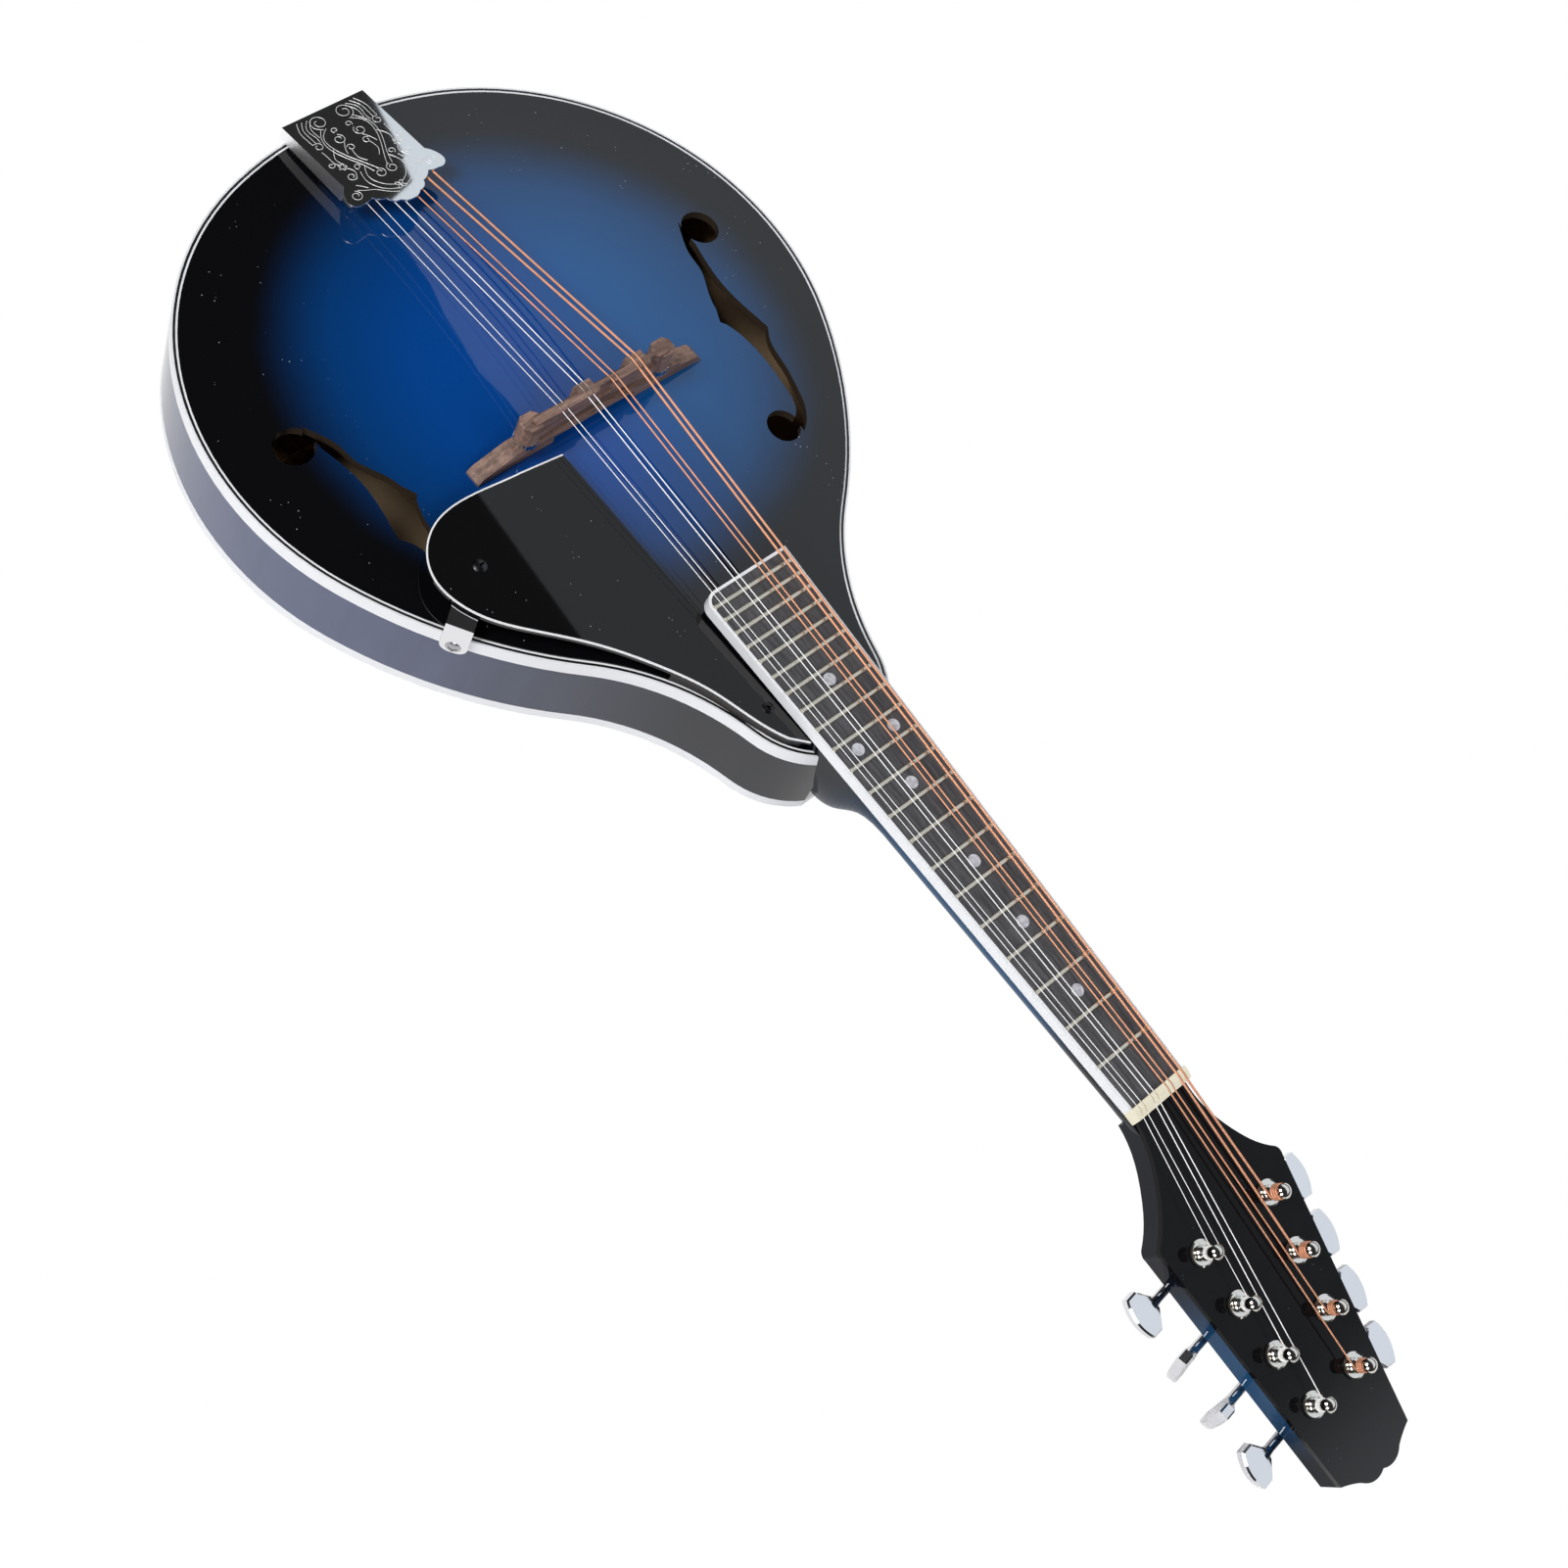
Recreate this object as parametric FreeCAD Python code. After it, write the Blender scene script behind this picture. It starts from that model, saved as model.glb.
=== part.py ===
import FreeCAD, Part
import math
import os
from FreeCAD import Vector, Rotation, Placement

# An a-style mandolin lying on its back, in millimetres.
# The object is worked out in the frame of its body: X runs from the tail to the head along
# the centre line, Y points to the bass side and Z stands on the plane of the top's rim.
# The last step turns everything onto its back and puts the origin under its middle.

# Angles and counts
NECK_ANGLE_DEG = 4.82
HEAD_ANGLE_DEG = 13.5
PRESSURE_ANGLE_DEG = 20.0
FRET_COUNT = 21
STEPS_PER_OCTAVE = 12
POSTS_PER_SIDE = 4

# Body outline, as arcs that meet tangentially, from the neck to the tail
SHOULDER_X = 173.8
SHOULDER_HALF_WIDTH = 12.94
SHOULDER_SLOPE_DEG = 63.5
SHOULDER_RADIUS = 35.21
SHOULDER_TURN_DEG = 49.45
WAIST_RADIUS = 113.44
WAIST_TURN_DEG = 35.75
FLANK_RADIUS = 210.64
FLANK_TURN_DEG = 26.35
BOUT_RADIUS = 123.88
BOUT_TURN_DEG = 97.15

# Body shell
RIM_DEPTH = 42.5
RIB_THICKNESS = 2.65
TOP_BINDING_DEPTH = 6.7
BACK_BINDING_DEPTH = 4.7
PLATE_THICKNESS = 4.0
TOP_ARCH = 8.5
BACK_ARCH = 10.0
ARCH_CENTRE_FROM_TAIL = 126.2
ARCH_FLAT_AT_NECK = 37.8
ARCH_FLAT_AT_SIDES = 0.7
ARCH_POWER = 1.5
LINING_WIDTH = 5.0
LINING_DEPTH = 9.0
LINING_GLUE = 0.2
GLUE_GAP = 0.1
TAIL_BLOCK_LENGTH = 18.0
TAIL_BLOCK_WIDTH = 64.0
NECK_BLOCK_LENGTH = 28.0
NECK_BLOCK_WIDTH = 56.0
TONE_BAR_WIDTH = 6.0
TONE_BAR_HEIGHT = 9.0
TONE_BAR_SPREAD = 38.0
TONE_BAR_TAIL_MARGIN = 29.0
TONE_BAR_NECK_MARGIN = 32.0
BRACE_WIDTH = 9.0
BRACE_RISE = 1.5
BRACE_PLACE_SHARES = (0.295, 0.655)
BRACE_END_MARGIN = 9.0

# Sound holes
SOUND_HOLE_SPAN = 100.9
SOUND_HOLE_FROM_TAIL = 118.2
SOUND_HOLE_FROM_SIDE = 29.5
UPPER_EYE_RADIUS = 8.3
LOWER_EYE_RADIUS = 7.4
LOWER_EYE_SHARES = (0.935, -0.357)
INNER_UPPER_SHARES = ((-0.066, -0.070), (0.012, -0.112), (0.090, -0.142), (0.175, -0.153),
                      (0.258, -0.192), (0.357, -0.230))
INNER_NICK_SHARES = (0.419, -0.260)
INNER_LOWER_SHARES = ((0.438, -0.243), (0.519, -0.218), (0.620, -0.208), (0.715, -0.212),
                      (0.805, -0.223), (0.881, -0.242), (0.928, -0.288))
OUTER_LOWER_SHARES = ((0.996, -0.294), (0.950, -0.237), (0.893, -0.200), (0.804, -0.170),
                      (0.710, -0.146), (0.629, -0.134), (0.575, -0.114))
OUTER_NICK_SHARES = (0.530, -0.083)
OUTER_UPPER_SHARES = ((0.431, -0.101), (0.342, -0.113), (0.243, -0.114), (0.154, -0.101),
                      (0.064, -0.081))

# Neck, fretboard and nut
SCALE_LENGTH = 350.0
JOINT_AHEAD = 0.33
BOARD_RISE = 5.26
BOARD_THICKNESS = 5.5
BOARD_WIDTH_NUT = 30.0
BOARD_WIDTH_JOINT = 40.0
BOARD_END_MARGIN = 6.05
BOARD_BINDING = 1.25
BOARD_CORNER_RADIUS = 6.0
FRET_WIDTH = 2.2
FRET_HEIGHT = 1.1
FRET_END_GAP = 0.15
DOT_DIAMETER = 5.3
DOT_THICKNESS = 1.5
DOUBLE_DOT_SPREAD = 9.7
SINGLE_DOT_FRETS = (3, 5, 7, 10, 15)
DOUBLE_DOT_FRETS = (12,)
NUT_LENGTH = 5.3
NUT_HEIGHT = 2.2
NUT_FRONT_HEIGHT = 0.8
NUT_CROWN_SHARE = 0.45
NECK_DEPTH_NUT = 14.4
NECK_DEPTH_JOINT = 16.4
HEEL_LENGTH = 36.0
HEEL_LENGTH_SHARES = (-0.30, 0.08, 0.16, 0.24, 0.31, 0.38, 0.44, 0.50, 0.56, 0.63, 0.72, 0.84, 1.00)
HEEL_DROP_SHARES = (1.00, 0.995, 0.98, 0.93, 0.86, 0.76, 0.64, 0.50, 0.37, 0.24, 0.13, 0.045, 0.0)
HEEL_TAPER_SHARE = 0.36
HEEL_SQUARENESS_SHARE = 1.3
TENON_LENGTH = 17.0
TENON_WIDTH = 20.0
TENON_DEPTH = 36.0
RISER_INSET = 1.6
ROD_WIDTH = 6.0
ROD_HEIGHT = 7.0
ROD_END_MARGIN = 6.0
BEND_REACH = 22.0
BEND_WIDTH = 25.0
BEND_START_SHARES = (0.94, 1.0)
BEND_HEAD_SHARES = ((0.5, 0.3), (1.0, -0.03))

# Head
HEAD_DROP = 3.0
HEAD_LENGTH = 168.3
HEAD_HALF_WIDTH = 35.5
HEAD_THICKNESS = 12.3
OVERLAY_THICKNESS = 2.5
HEAD_CORNER_RADIUS = 3.0
HEAD_FLARE_SHARES = ((0.0, 0.397), (0.092, 0.470), (0.157, 0.606), (0.212, 0.769),
                     (0.252, 0.955))
HEAD_CORNER_SHARES = ((0.262, 0.990), (0.280, 0.992))
HEAD_SHOULDER_SHARES = (0.954, 0.592)
HEAD_SCOOP_SHARES = ((0.965, 0.470), (0.982, 0.330))
HEAD_LOBE_SHARES = ((1.0, 0.190), (0.994, 0.0))

# Tuning machines
POST_START = 54.7
POST_HALF_SPREAD = 20.0
POST_PITCH = 24.87
ROW_ANGLE_DEG = 5.77
POST_RADIUS = 3.0
POST_WAIST_RADIUS = 2.2
POST_TIP = 12.3
POST_CAP_LENGTH = 2.6
POST_CAP_DOME = 1.6
POST_FOOT = 2.7
POST_GROOVE = 0.5
POST_TAPER = 0.6
POST_HOLE_RADIUS = 0.7
POST_HOLE_DROP = 0.35
POST_FIT = 0.05
BUSHING_FLANGE_RADIUS = 5.4
BUSHING_FLANGE_HEIGHT = 1.0
BUSHING_BARREL_RADIUS = 4.2
BUSHING_CHAMFER = 0.35
BUSHING_LENGTH = 6.0
GEAR_TEETH = 15
GEAR_MODULE = 0.55
GEAR_FACE = 3.0
GEAR_GAP_OVERCUT = 0.17
GEAR_SCREW_RADIUS = 2.4
GEAR_SCREW_HEIGHT = 1.5
WORM_PITCH_RADIUS = 1.9
WORM_TURNS = 4.0
WORM_BACKLASH = 0.34
WORM_TIP_CLEARANCE = 0.12
WORM_DROP = 4.0
WORM_REST_SHARE = 0.5
MACHINE_PLATE_THICKNESS = 1.2
MACHINE_PLATE_WIDTH = 13.0
MACHINE_PLATE_MARGIN = 7.5
MACHINE_EAR_THICKNESS = 1.4
MACHINE_EAR_WIDTH = 7.0
MACHINE_EAR_GAP = 0.3
KEY_SHAFT_RADIUS = 2.0
KEY_PIN_RADIUS = 1.1
KEY_COLLAR_RADIUS = 2.75
KEY_COLLAR_LENGTH = 2.0
BUTTON_CENTRE = 25.9
BUTTON_OUTER_REACH = 6.0
BUTTON_OUTER_CORNER = 3.7
BUTTON_INNER_CORNER = -1.4
BUTTON_INNER_REACH = -6.2
BUTTON_WIDTH = 18.4
BUTTON_THICKNESS = 4.4
BUTTON_BEVEL = 0.7
BUTTON_NECK_RADIUS = 2.6
BUTTON_NECK_LENGTH = 4.5
TREBLE_KEY_TURNS_DEG = (0.0, 60.0, 75.0, 8.0)
BASS_KEY_TURNS_DEG = (0.0, 0.0, 0.0, 0.0)
PLATE_SCREW_RADIUS = 1.9
PLATE_SCREW_LENGTH = 6.0
PLATE_SCREW_HEAD = 1.1

# Bridge
BRIDGE_AHEAD = 4.85
BASE_THICKNESS = 7.5
BASE_HALF_LENGTH = 58.6
BASE_TOP = 14.2
BASE_FLAT_HALF = 41.0
BASE_END_RISE = 8.9
BASE_END_ROUND = 2.4
BASE_RELIEF_HALF = 21.0
BASE_RELIEF_WEB = 3.2
BRIDGE_POST_SPREAD = 34.0
BRIDGE_POST_RADIUS = 1.6
BRIDGE_POST_SEAT = 4.5
BRIDGE_POST_LENGTH = 13.0
WHEEL_RADIUS = 5.1
WHEEL_THICKNESS = 2.7
WHEEL_LIFT_GAP = 0.1
WHEEL_NOTCHES = 16
WHEEL_NOTCH_RADIUS = 0.7
SLIDE_FIT = 0.05
BORE_DEPTH_SHARE = 12.0
SADDLE_THICKNESS = 6.6
SADDLE_WALL = 3.2
SADDLE_TOP = 28.9
SADDLE_FOOT_TOP = 22.0
SADDLE_RECESS = 1.5
SADDLE_FACET = 1.4
SADDLE_HALF_LENGTH = 39.1
SADDLE_ARCH = 3.0
SADDLE_ARCH_HALF = 26.0
KNOB_LENGTH = 9.8
KNOB_THICKNESS = 8.2
KNOB_TOP = 27.8
KNOB_CORNER = 2.2
KNOB_CROWN = 0.6
RIDGE_OFFSET = 1.5
BLOCK_MARGIN = 4.2
NOTCH_CLEARANCE = 0.1

# Strings, treble to bass in pairs
STRING_RADII = (0.14, 0.19, 0.33, 0.5)
NUT_PAIR_CENTRES = (-11.07, -3.78, 4.23, 11.35)
NUT_PAIR_GAP = 2.46
SADDLE_PAIR_CENTRES = (-20.1, -6.7, 6.7, 20.1)
SADDLE_PAIR_GAP = 2.7
STRING_FLOOR_NUT = 1.3
STRING_HEIGHT_SADDLE = 28.5
STRING_BEND_RADIUS = 6.0
STRING_COIL_GAP = 0.1
STRING_PITCH_GAP = 0.45
STRING_COIL_TURNS = 3
STRING_COIL_LEAD = 4.4
STRING_COIL_START = 3.9
STRING_TAIL_STUB = 1.5

# Tailpiece
TAILPIECE_THICKNESS = 1.2
TAILPIECE_HALF_WIDTH = 19.2
TAILPIECE_LENGTH = 40.2
TAILPIECE_APRON = 30.0
TAILPIECE_APRON_HALF = 15.0
HOOK_FROM_TAIL = 18.2
HOOK_HEIGHT = 9.5
HOOK_WIDTH = 1.4
HOOK_THICKNESS = 1.1
HOOK_OVER_STRING = 0.7
HOOK_LOOP_RADIUS = 1.55
HOOK_LOOP_TURN_DEG = 250.0
HOOK_PITCH = 4.5
COVER_OVERHANG = 3.5
COVER_FRONT_FROM_TAIL = 35.8
COVER_LIP_LENGTH = 17.9
COVER_HALF_WIDTH = 20.6
COVER_REAR_TOP = 8.0
COVER_FRONT_TOP = 14.0
COVER_LIP_TOP = 15.7
COVER_THICKNESS = 0.8
ROOF_SLOPE_SHARE = 1.02
COVER_REAR_FOOT = 1.6
COVER_FRONT_FOOT = 5.2
COVER_LIP_START_SHARE = 1.0
COVER_LIP_SHARES = (((0.20, 1.13), (0.42, 1.18)), ((0.59, 1.10), (0.61, 0.93)),
                    ((0.60, 0.80), (0.56, 0.70)), ((0.67, 0.60), (0.74, 0.45)),
                    ((0.88, 0.38), (0.93, 0.24)), ((1.02, 0.13), (1.04, 0.0)))
TAIL_SCREW_RADIUS = 3.0
TAIL_SCREW_LENGTH = 12.0
TAIL_SCREW_HEAD = 1.6
TAIL_SCREW_PLACES = ((-9.5, -8.5), (9.5, -8.5))
END_PIN_Z = -21.0
END_PIN_RADIUS = 4.0
END_PIN_BUTTON_RADIUS = 6.5
END_PIN_BUTTON_LENGTH = 9.0
END_PIN_WAIST_SHARE = 0.8
END_PIN_WAIST_END_SHARE = 0.3
END_PIN_NECK_LENGTH = 3.0
END_PIN_DEPTH = 14.0

# Pickguard
GUARD_FROM_BRIDGE = 8.1
GUARD_FROM_JOINT = 8.4
GUARD_TAIL_TOP = 13.7
GUARD_NECK_TOP = 5.45
GUARD_THICKNESS = 2.2
GUARD_EDGING = 0.65
GUARD_EDGING_DEPTH = 0.6
GUARD_BOARD_GAP = 0.4
GUARD_DEPTH = 102.8
GUARD_OUTLINE_SHARES = ((0.014, 0.434), (0.0, 0.716), (0.016, 0.846), (0.064, 0.946),
                        (0.146, 1.0), (0.218, 0.987), (0.284, 0.941), (0.389, 0.803),
                        (0.495, 0.647), (0.621, 0.504), (0.761, 0.386), (0.885, 0.320),
                        (0.959, 0.265))
GUARD_SCREW_SHARES = ((0.170, 0.816), (0.866, 0.249))
GUARD_SCREW_RADIUS = 2.2
GUARD_SCREW_SHANK = 1.2
GUARD_SCREW_HEAD = 0.9
SPACER_LENGTH = 50.0
SPACER_TIP_MARGIN = 3.0
SPACER_EDGE_MARGIN = 1.0
SPACER_WIDTH = 5.5
BRACKET_WIDTH = 11.0
BRACKET_THICKNESS = 1.2
BRACKET_DROP = 9.0
BRACKET_ROUND = 4.4
BRACKET_SIDE_GAP = 0.3
BRACKET_SCREW_DROP = 5.0
BRACKET_SCREW_RADIUS = 1.9
BRACKET_SCREW_LENGTH = 6.0

# One overrun for every cutting tool
CUT_OVERRUN = 60.0
# Where the soft curves of the arch are sampled
ARCH_STEPS_LONG = 16
ARCH_STEPS_SIDE = 14

UP = Vector(0, 0, 1)
ALONG = Vector(1, 0, 0)
ACROSS = Vector(0, 1, 0)

# Frames of the neck and the head, both carried by the body
BODY_END_X = SHOULDER_X + RIB_THICKNESS * math.sin(math.radians(SHOULDER_SLOPE_DEG))
JOINT_X = BODY_END_X + JOINT_AHEAD
NECK = Placement(Vector(JOINT_X, 0, BOARD_RISE + BOARD_THICKNESS), Rotation(ACROSS, NECK_ANGLE_DEG))
NUT_X = SCALE_LENGTH / 2
HEAD = NECK * Placement(Vector(NUT_X + NUT_LENGTH, 0, -HEAD_DROP), Rotation(ACROSS, HEAD_ANGLE_DEG))
BRIDGE_X = NECK.multVec(Vector(-SCALE_LENGTH / 2, 0, 0)).x + BRIDGE_AHEAD
GUARD_TAIL_X = BRIDGE_X + GUARD_FROM_BRIDGE
GUARD_NECK_X = JOINT_X - GUARD_FROM_JOINT


def box(x0, x1, y0, y1, z0, z1):
    """A box between two corners."""
    return Part.makeBox(x1 - x0, y1 - y0, z1 - z0, Vector(x0, y0, z0))


def placed(shape, placement):
    """A copy of a shape moved by a placement."""
    moved = shape.copy()
    moved.Placement = placement.multiply(moved.Placement)
    return moved


def mirrored(shape):
    """The same shape on the other side of the centre line."""
    return shape.mirror(Vector(0, 0, 0), ACROSS)


def prism(edges, z0, z1):
    """A straight solid over a closed chain of edges that lies at height zero."""
    face = Part.Face(Part.Wire(Part.__sortEdges__(edges)))
    face.translate(Vector(0, 0, z0))
    return face.extrude(Vector(0, 0, z1 - z0))


def polygon_prism(points, z0, z1):
    """A straight solid over a polygon given as pairs."""
    corners = [Vector(x, y, 0) for x, y in points]
    return prism(Part.makePolygon(corners + corners[:1]).Edges, z0, z1)


def side_prism(points, y0, y1):
    """A straight solid across the object over a polygon of lengthwise and height pairs."""
    corners = [Vector(x, y0, z) for x, z in points]
    return Part.Face(Part.makePolygon(corners + corners[:1])).extrude(Vector(0, y1 - y0, 0))


def spline(points):
    """A smooth edge through a few points."""
    curve = Part.BSplineCurve()
    curve.interpolate(points)
    return curve.toShape()


def fused(shapes):
    """Several touching solids as one."""
    return shapes[0].fuse(shapes[1:]).removeSplitter() if len(shapes) > 1 else shapes[0]


# Body outline

def outline_arcs(offset):
    """The bass half of the outline as arcs, moved outward by an offset."""
    heading = math.pi - math.radians(SHOULDER_SLOPE_DEG)
    point = Vector(SHOULDER_X, SHOULDER_HALF_WIDTH, 0)
    point += Vector(math.sin(heading), -math.cos(heading), 0) * offset
    arcs = []
    for radius, turn_deg, bulge in ((SHOULDER_RADIUS, SHOULDER_TURN_DEG, 1),
                                    (WAIST_RADIUS, WAIST_TURN_DEG, -1),
                                    (FLANK_RADIUS, FLANK_TURN_DEG, 1),
                                    (BOUT_RADIUS, BOUT_TURN_DEG, 1)):
        reach = radius + bulge * offset
        normal = Vector(-math.sin(heading), math.cos(heading), 0)
        centre = point + normal * (bulge * reach)
        spoke = point - centre
        middle = centre + Rotation(UP, bulge * turn_deg / 2).multVec(spoke)
        end = centre + Rotation(UP, bulge * turn_deg).multVec(spoke)
        arcs.append(Part.Arc(point, middle, end).toShape())
        heading += bulge * math.radians(turn_deg)
        point = end
    return arcs, point, heading


def outline(offset):
    """The whole closed outline: both halves, the tail's arc and the flat at the neck."""
    arcs, end, heading = outline_arcs(offset)
    normal = Vector(-math.sin(heading), math.cos(heading), 0)
    reach = -end.y / normal.y
    tail = Vector(end.x + normal.x * reach - reach, 0, 0)
    tail_arc = Part.Arc(end, tail, Vector(end.x, -end.y, 0)).toShape()
    start = arcs[0].Vertexes[0].Point
    flat = Part.makeLine(start, Vector(start.x, -start.y, 0))
    return arcs + [mirrored(arc) for arc in arcs] + [tail_arc, flat]


# Places along the body that follow from the outline: its end at the tail and its widest half
TAIL_X = min(edge.BoundBox.XMin for edge in outline(0)[-2:])
BODY_HALF_WIDTH = max(arc.BoundBox.YMax for arc in outline_arcs(0)[0])
ARCH_CENTRE_X = TAIL_X + ARCH_CENTRE_FROM_TAIL
COVER_REAR_X = TAIL_X - COVER_OVERHANG
COVER_FRONT_X = TAIL_X + COVER_FRONT_FROM_TAIL
COVER_LIP_X = COVER_FRONT_X + COVER_LIP_LENGTH
TAILPIECE_FRONT_X = TAIL_X + TAILPIECE_LENGTH
HOOK_X = TAIL_X + HOOK_FROM_TAIL


def half_width_at(x, offset):
    """Half the width of the outline at a place along the body."""
    line = Part.makeLine(Vector(x, 0, 0), Vector(x, CUT_OVERRUN * 4, 0))
    hits = [arc.distToShape(line) for arc in outline_arcs(offset)[0]]
    return max(hit[1][0][0].y for hit in hits if hit[0] < GLUE_GAP)


def arch_share(x, y):
    """How far the arch has risen at a place, from nothing at the rim to one at its crown."""
    reach = SHOULDER_X - ARCH_FLAT_AT_NECK - ARCH_CENTRE_X if x > ARCH_CENTRE_X else ARCH_CENTRE_FROM_TAIL
    spread = ((x - ARCH_CENTRE_X) / reach) ** 2 + (y / (BODY_HALF_WIDTH - ARCH_FLAT_AT_SIDES)) ** 2
    return max(0.0, 1 - spread) ** ARCH_POWER


def arch_sheet(base, rise):
    """A smooth sheet that carries the arch, over the whole body."""
    x0, x1 = TAIL_X - 2 * RIB_THICKNESS, BODY_END_X + 2 * RIB_THICKNESS
    half = BODY_HALF_WIDTH + 3 * RIB_THICKNESS
    rows = []
    for i in range(ARCH_STEPS_LONG + 1):
        x = x0 + (x1 - x0) * i / ARCH_STEPS_LONG
        row = []
        for j in range(ARCH_STEPS_SIDE + 1):
            y = -half + 2 * half * j / ARCH_STEPS_SIDE
            row.append(Vector(x, y, base + rise * arch_share(x, y)))
        rows.append(row)
    sheet = Part.BSplineSurface()
    sheet.interpolate(rows)
    return sheet.toShape()


def below_top():
    """Everything under the outer face of the top."""
    return arch_sheet(0, TOP_ARCH).extrude(Vector(0, 0, -CUT_OVERRUN))


def ring(outer, inner, z0, z1):
    """A band that follows the outline between two offsets."""
    return prism(outline(outer), z0, z1).cut(prism(outline(inner), z0, z1))


def tenon_box():
    """The straight tenon of the neck, also the tool that cuts its slot."""
    start = BODY_END_X - TENON_LENGTH
    return box(start, BODY_END_X, -TENON_WIDTH / 2, TENON_WIDTH / 2, -TENON_DEPTH, 0)


def end_pin_bore():
    """The hole for the end pin through the ribs and the tail block."""
    start = Vector(TAIL_X - CUT_OVERRUN / 2, 0, END_PIN_Z)
    return Part.makeCylinder(END_PIN_RADIUS, CUT_OVERRUN, start, ALONG)


def tail_screw_bores():
    """The holes of the tailpiece screws."""
    depth = TAIL_X + TAIL_SCREW_LENGTH
    return [Part.makeCylinder(TAIL_SCREW_RADIUS / 2, CUT_OVERRUN, Vector(depth - CUT_OVERRUN, y, z), ALONG)
            for y, z in TAIL_SCREW_PLACES]


# Sound holes

def sound_hole():
    """One sound hole on the bass side, as a tool through the top."""
    start = Vector(TAIL_X + SOUND_HOLE_FROM_TAIL, BODY_HALF_WIDTH - SOUND_HOLE_FROM_SIDE, 0)

    def at(share):
        return start + Vector(share[0], share[1], 0) * SOUND_HOLE_SPAN
    inner_upper = [at(share) for share in INNER_UPPER_SHARES]
    inner_lower = [at(share) for share in INNER_LOWER_SHARES]
    outer_lower = [at(share) for share in OUTER_LOWER_SHARES]
    outer_upper = [at(share) for share in OUTER_UPPER_SHARES]
    nick, outer_nick = at(INNER_NICK_SHARES), at(OUTER_NICK_SHARES)
    edges = [spline(inner_upper), Part.makeLine(inner_upper[-1], nick), Part.makeLine(nick, inner_lower[0]),
             spline(inner_lower), Part.makeLine(inner_lower[-1], outer_lower[0]), spline(outer_lower),
             Part.makeLine(outer_lower[-1], outer_nick), Part.makeLine(outer_nick, outer_upper[0]),
             spline(outer_upper), Part.makeLine(outer_upper[-1], inner_upper[0])]
    depth = 2 * (TOP_ARCH + PLATE_THICKNESS)
    stem = prism(edges, -depth / 2, depth / 2)
    upper_eye = Part.makeCylinder(UPPER_EYE_RADIUS, depth, at((0, 0)) - UP * (depth / 2))
    lower_eye = Part.makeCylinder(LOWER_EYE_RADIUS, depth, at(LOWER_EYE_SHARES) - UP * (depth / 2))
    return fused([stem, upper_eye, lower_eye])


def top_plate():
    """The carved top with its two sound holes and the slot for the neck."""
    slab = arch_sheet(0, TOP_ARCH).extrude(Vector(0, 0, -PLATE_THICKNESS))
    plate = slab.common(prism(outline(0), -CUT_OVERRUN / 2, CUT_OVERRUN / 2))
    hole = sound_hole()
    start, half = BODY_END_X - TENON_LENGTH, TENON_WIDTH / 2
    slot = box(start, BODY_END_X, -half, half, -TENON_DEPTH, TOP_ARCH)
    return plate.cut([hole, mirrored(hole), slot])


def back_plate():
    """The carved back."""
    slab = arch_sheet(-RIM_DEPTH, -BACK_ARCH).extrude(Vector(0, 0, PLATE_THICKNESS))
    return slab.common(prism(outline(0), -2 * CUT_OVERRUN, 0))


def side_ribs():
    """The bent sides between the two bindings."""
    band = ring(RIB_THICKNESS, 0, BACK_BINDING_DEPTH - RIM_DEPTH, -TOP_BINDING_DEPTH)
    return band.cut([tenon_box(), end_pin_bore()] + tail_screw_bores())


def top_binding():
    """The pale binding round the top."""
    return ring(RIB_THICKNESS, 0, -TOP_BINDING_DEPTH, 0).cut([tenon_box()] + tail_screw_bores())


def back_binding():
    """The pale binding round the back."""
    return ring(RIB_THICKNESS, 0, -RIM_DEPTH, BACK_BINDING_DEPTH - RIM_DEPTH)


def block_boxes():
    """The room that the two end blocks take."""
    tail = box(TAIL_X - RIB_THICKNESS, TAIL_X + TAIL_BLOCK_LENGTH, -TAIL_BLOCK_WIDTH / 2,
               TAIL_BLOCK_WIDTH / 2, -RIM_DEPTH, 0)
    neck = box(SHOULDER_X - NECK_BLOCK_LENGTH, BODY_END_X, -NECK_BLOCK_WIDTH / 2, NECK_BLOCK_WIDTH / 2,
               -RIM_DEPTH, 0)
    return tail, neck


def lining(z0, z1):
    """A glued lining inside the ribs, stopped by the two blocks."""
    return ring(0, -LINING_WIDTH, z0, z1).cut(list(block_boxes()))


def top_lining():
    """The lining under the top."""
    top = -PLATE_THICKNESS - LINING_GLUE
    return lining(top - LINING_DEPTH, top)


def back_lining():
    """The lining over the back."""
    bottom = PLATE_THICKNESS + LINING_GLUE - RIM_DEPTH
    return lining(bottom, bottom + LINING_DEPTH)


def block(room):
    """An end block that fills its room between the plates."""
    z0, z1 = PLATE_THICKNESS + GLUE_GAP - RIM_DEPTH, -PLATE_THICKNESS - GLUE_GAP
    return prism(outline(0), z0, z1).common(room)


def tail_block():
    """The block inside the tail that holds the end pin."""
    return block(block_boxes()[0]).cut([end_pin_bore()] + tail_screw_bores())


def neck_block():
    """The block inside the neck end that holds the tenon."""
    return block(block_boxes()[1]).cut(tenon_box())


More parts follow.
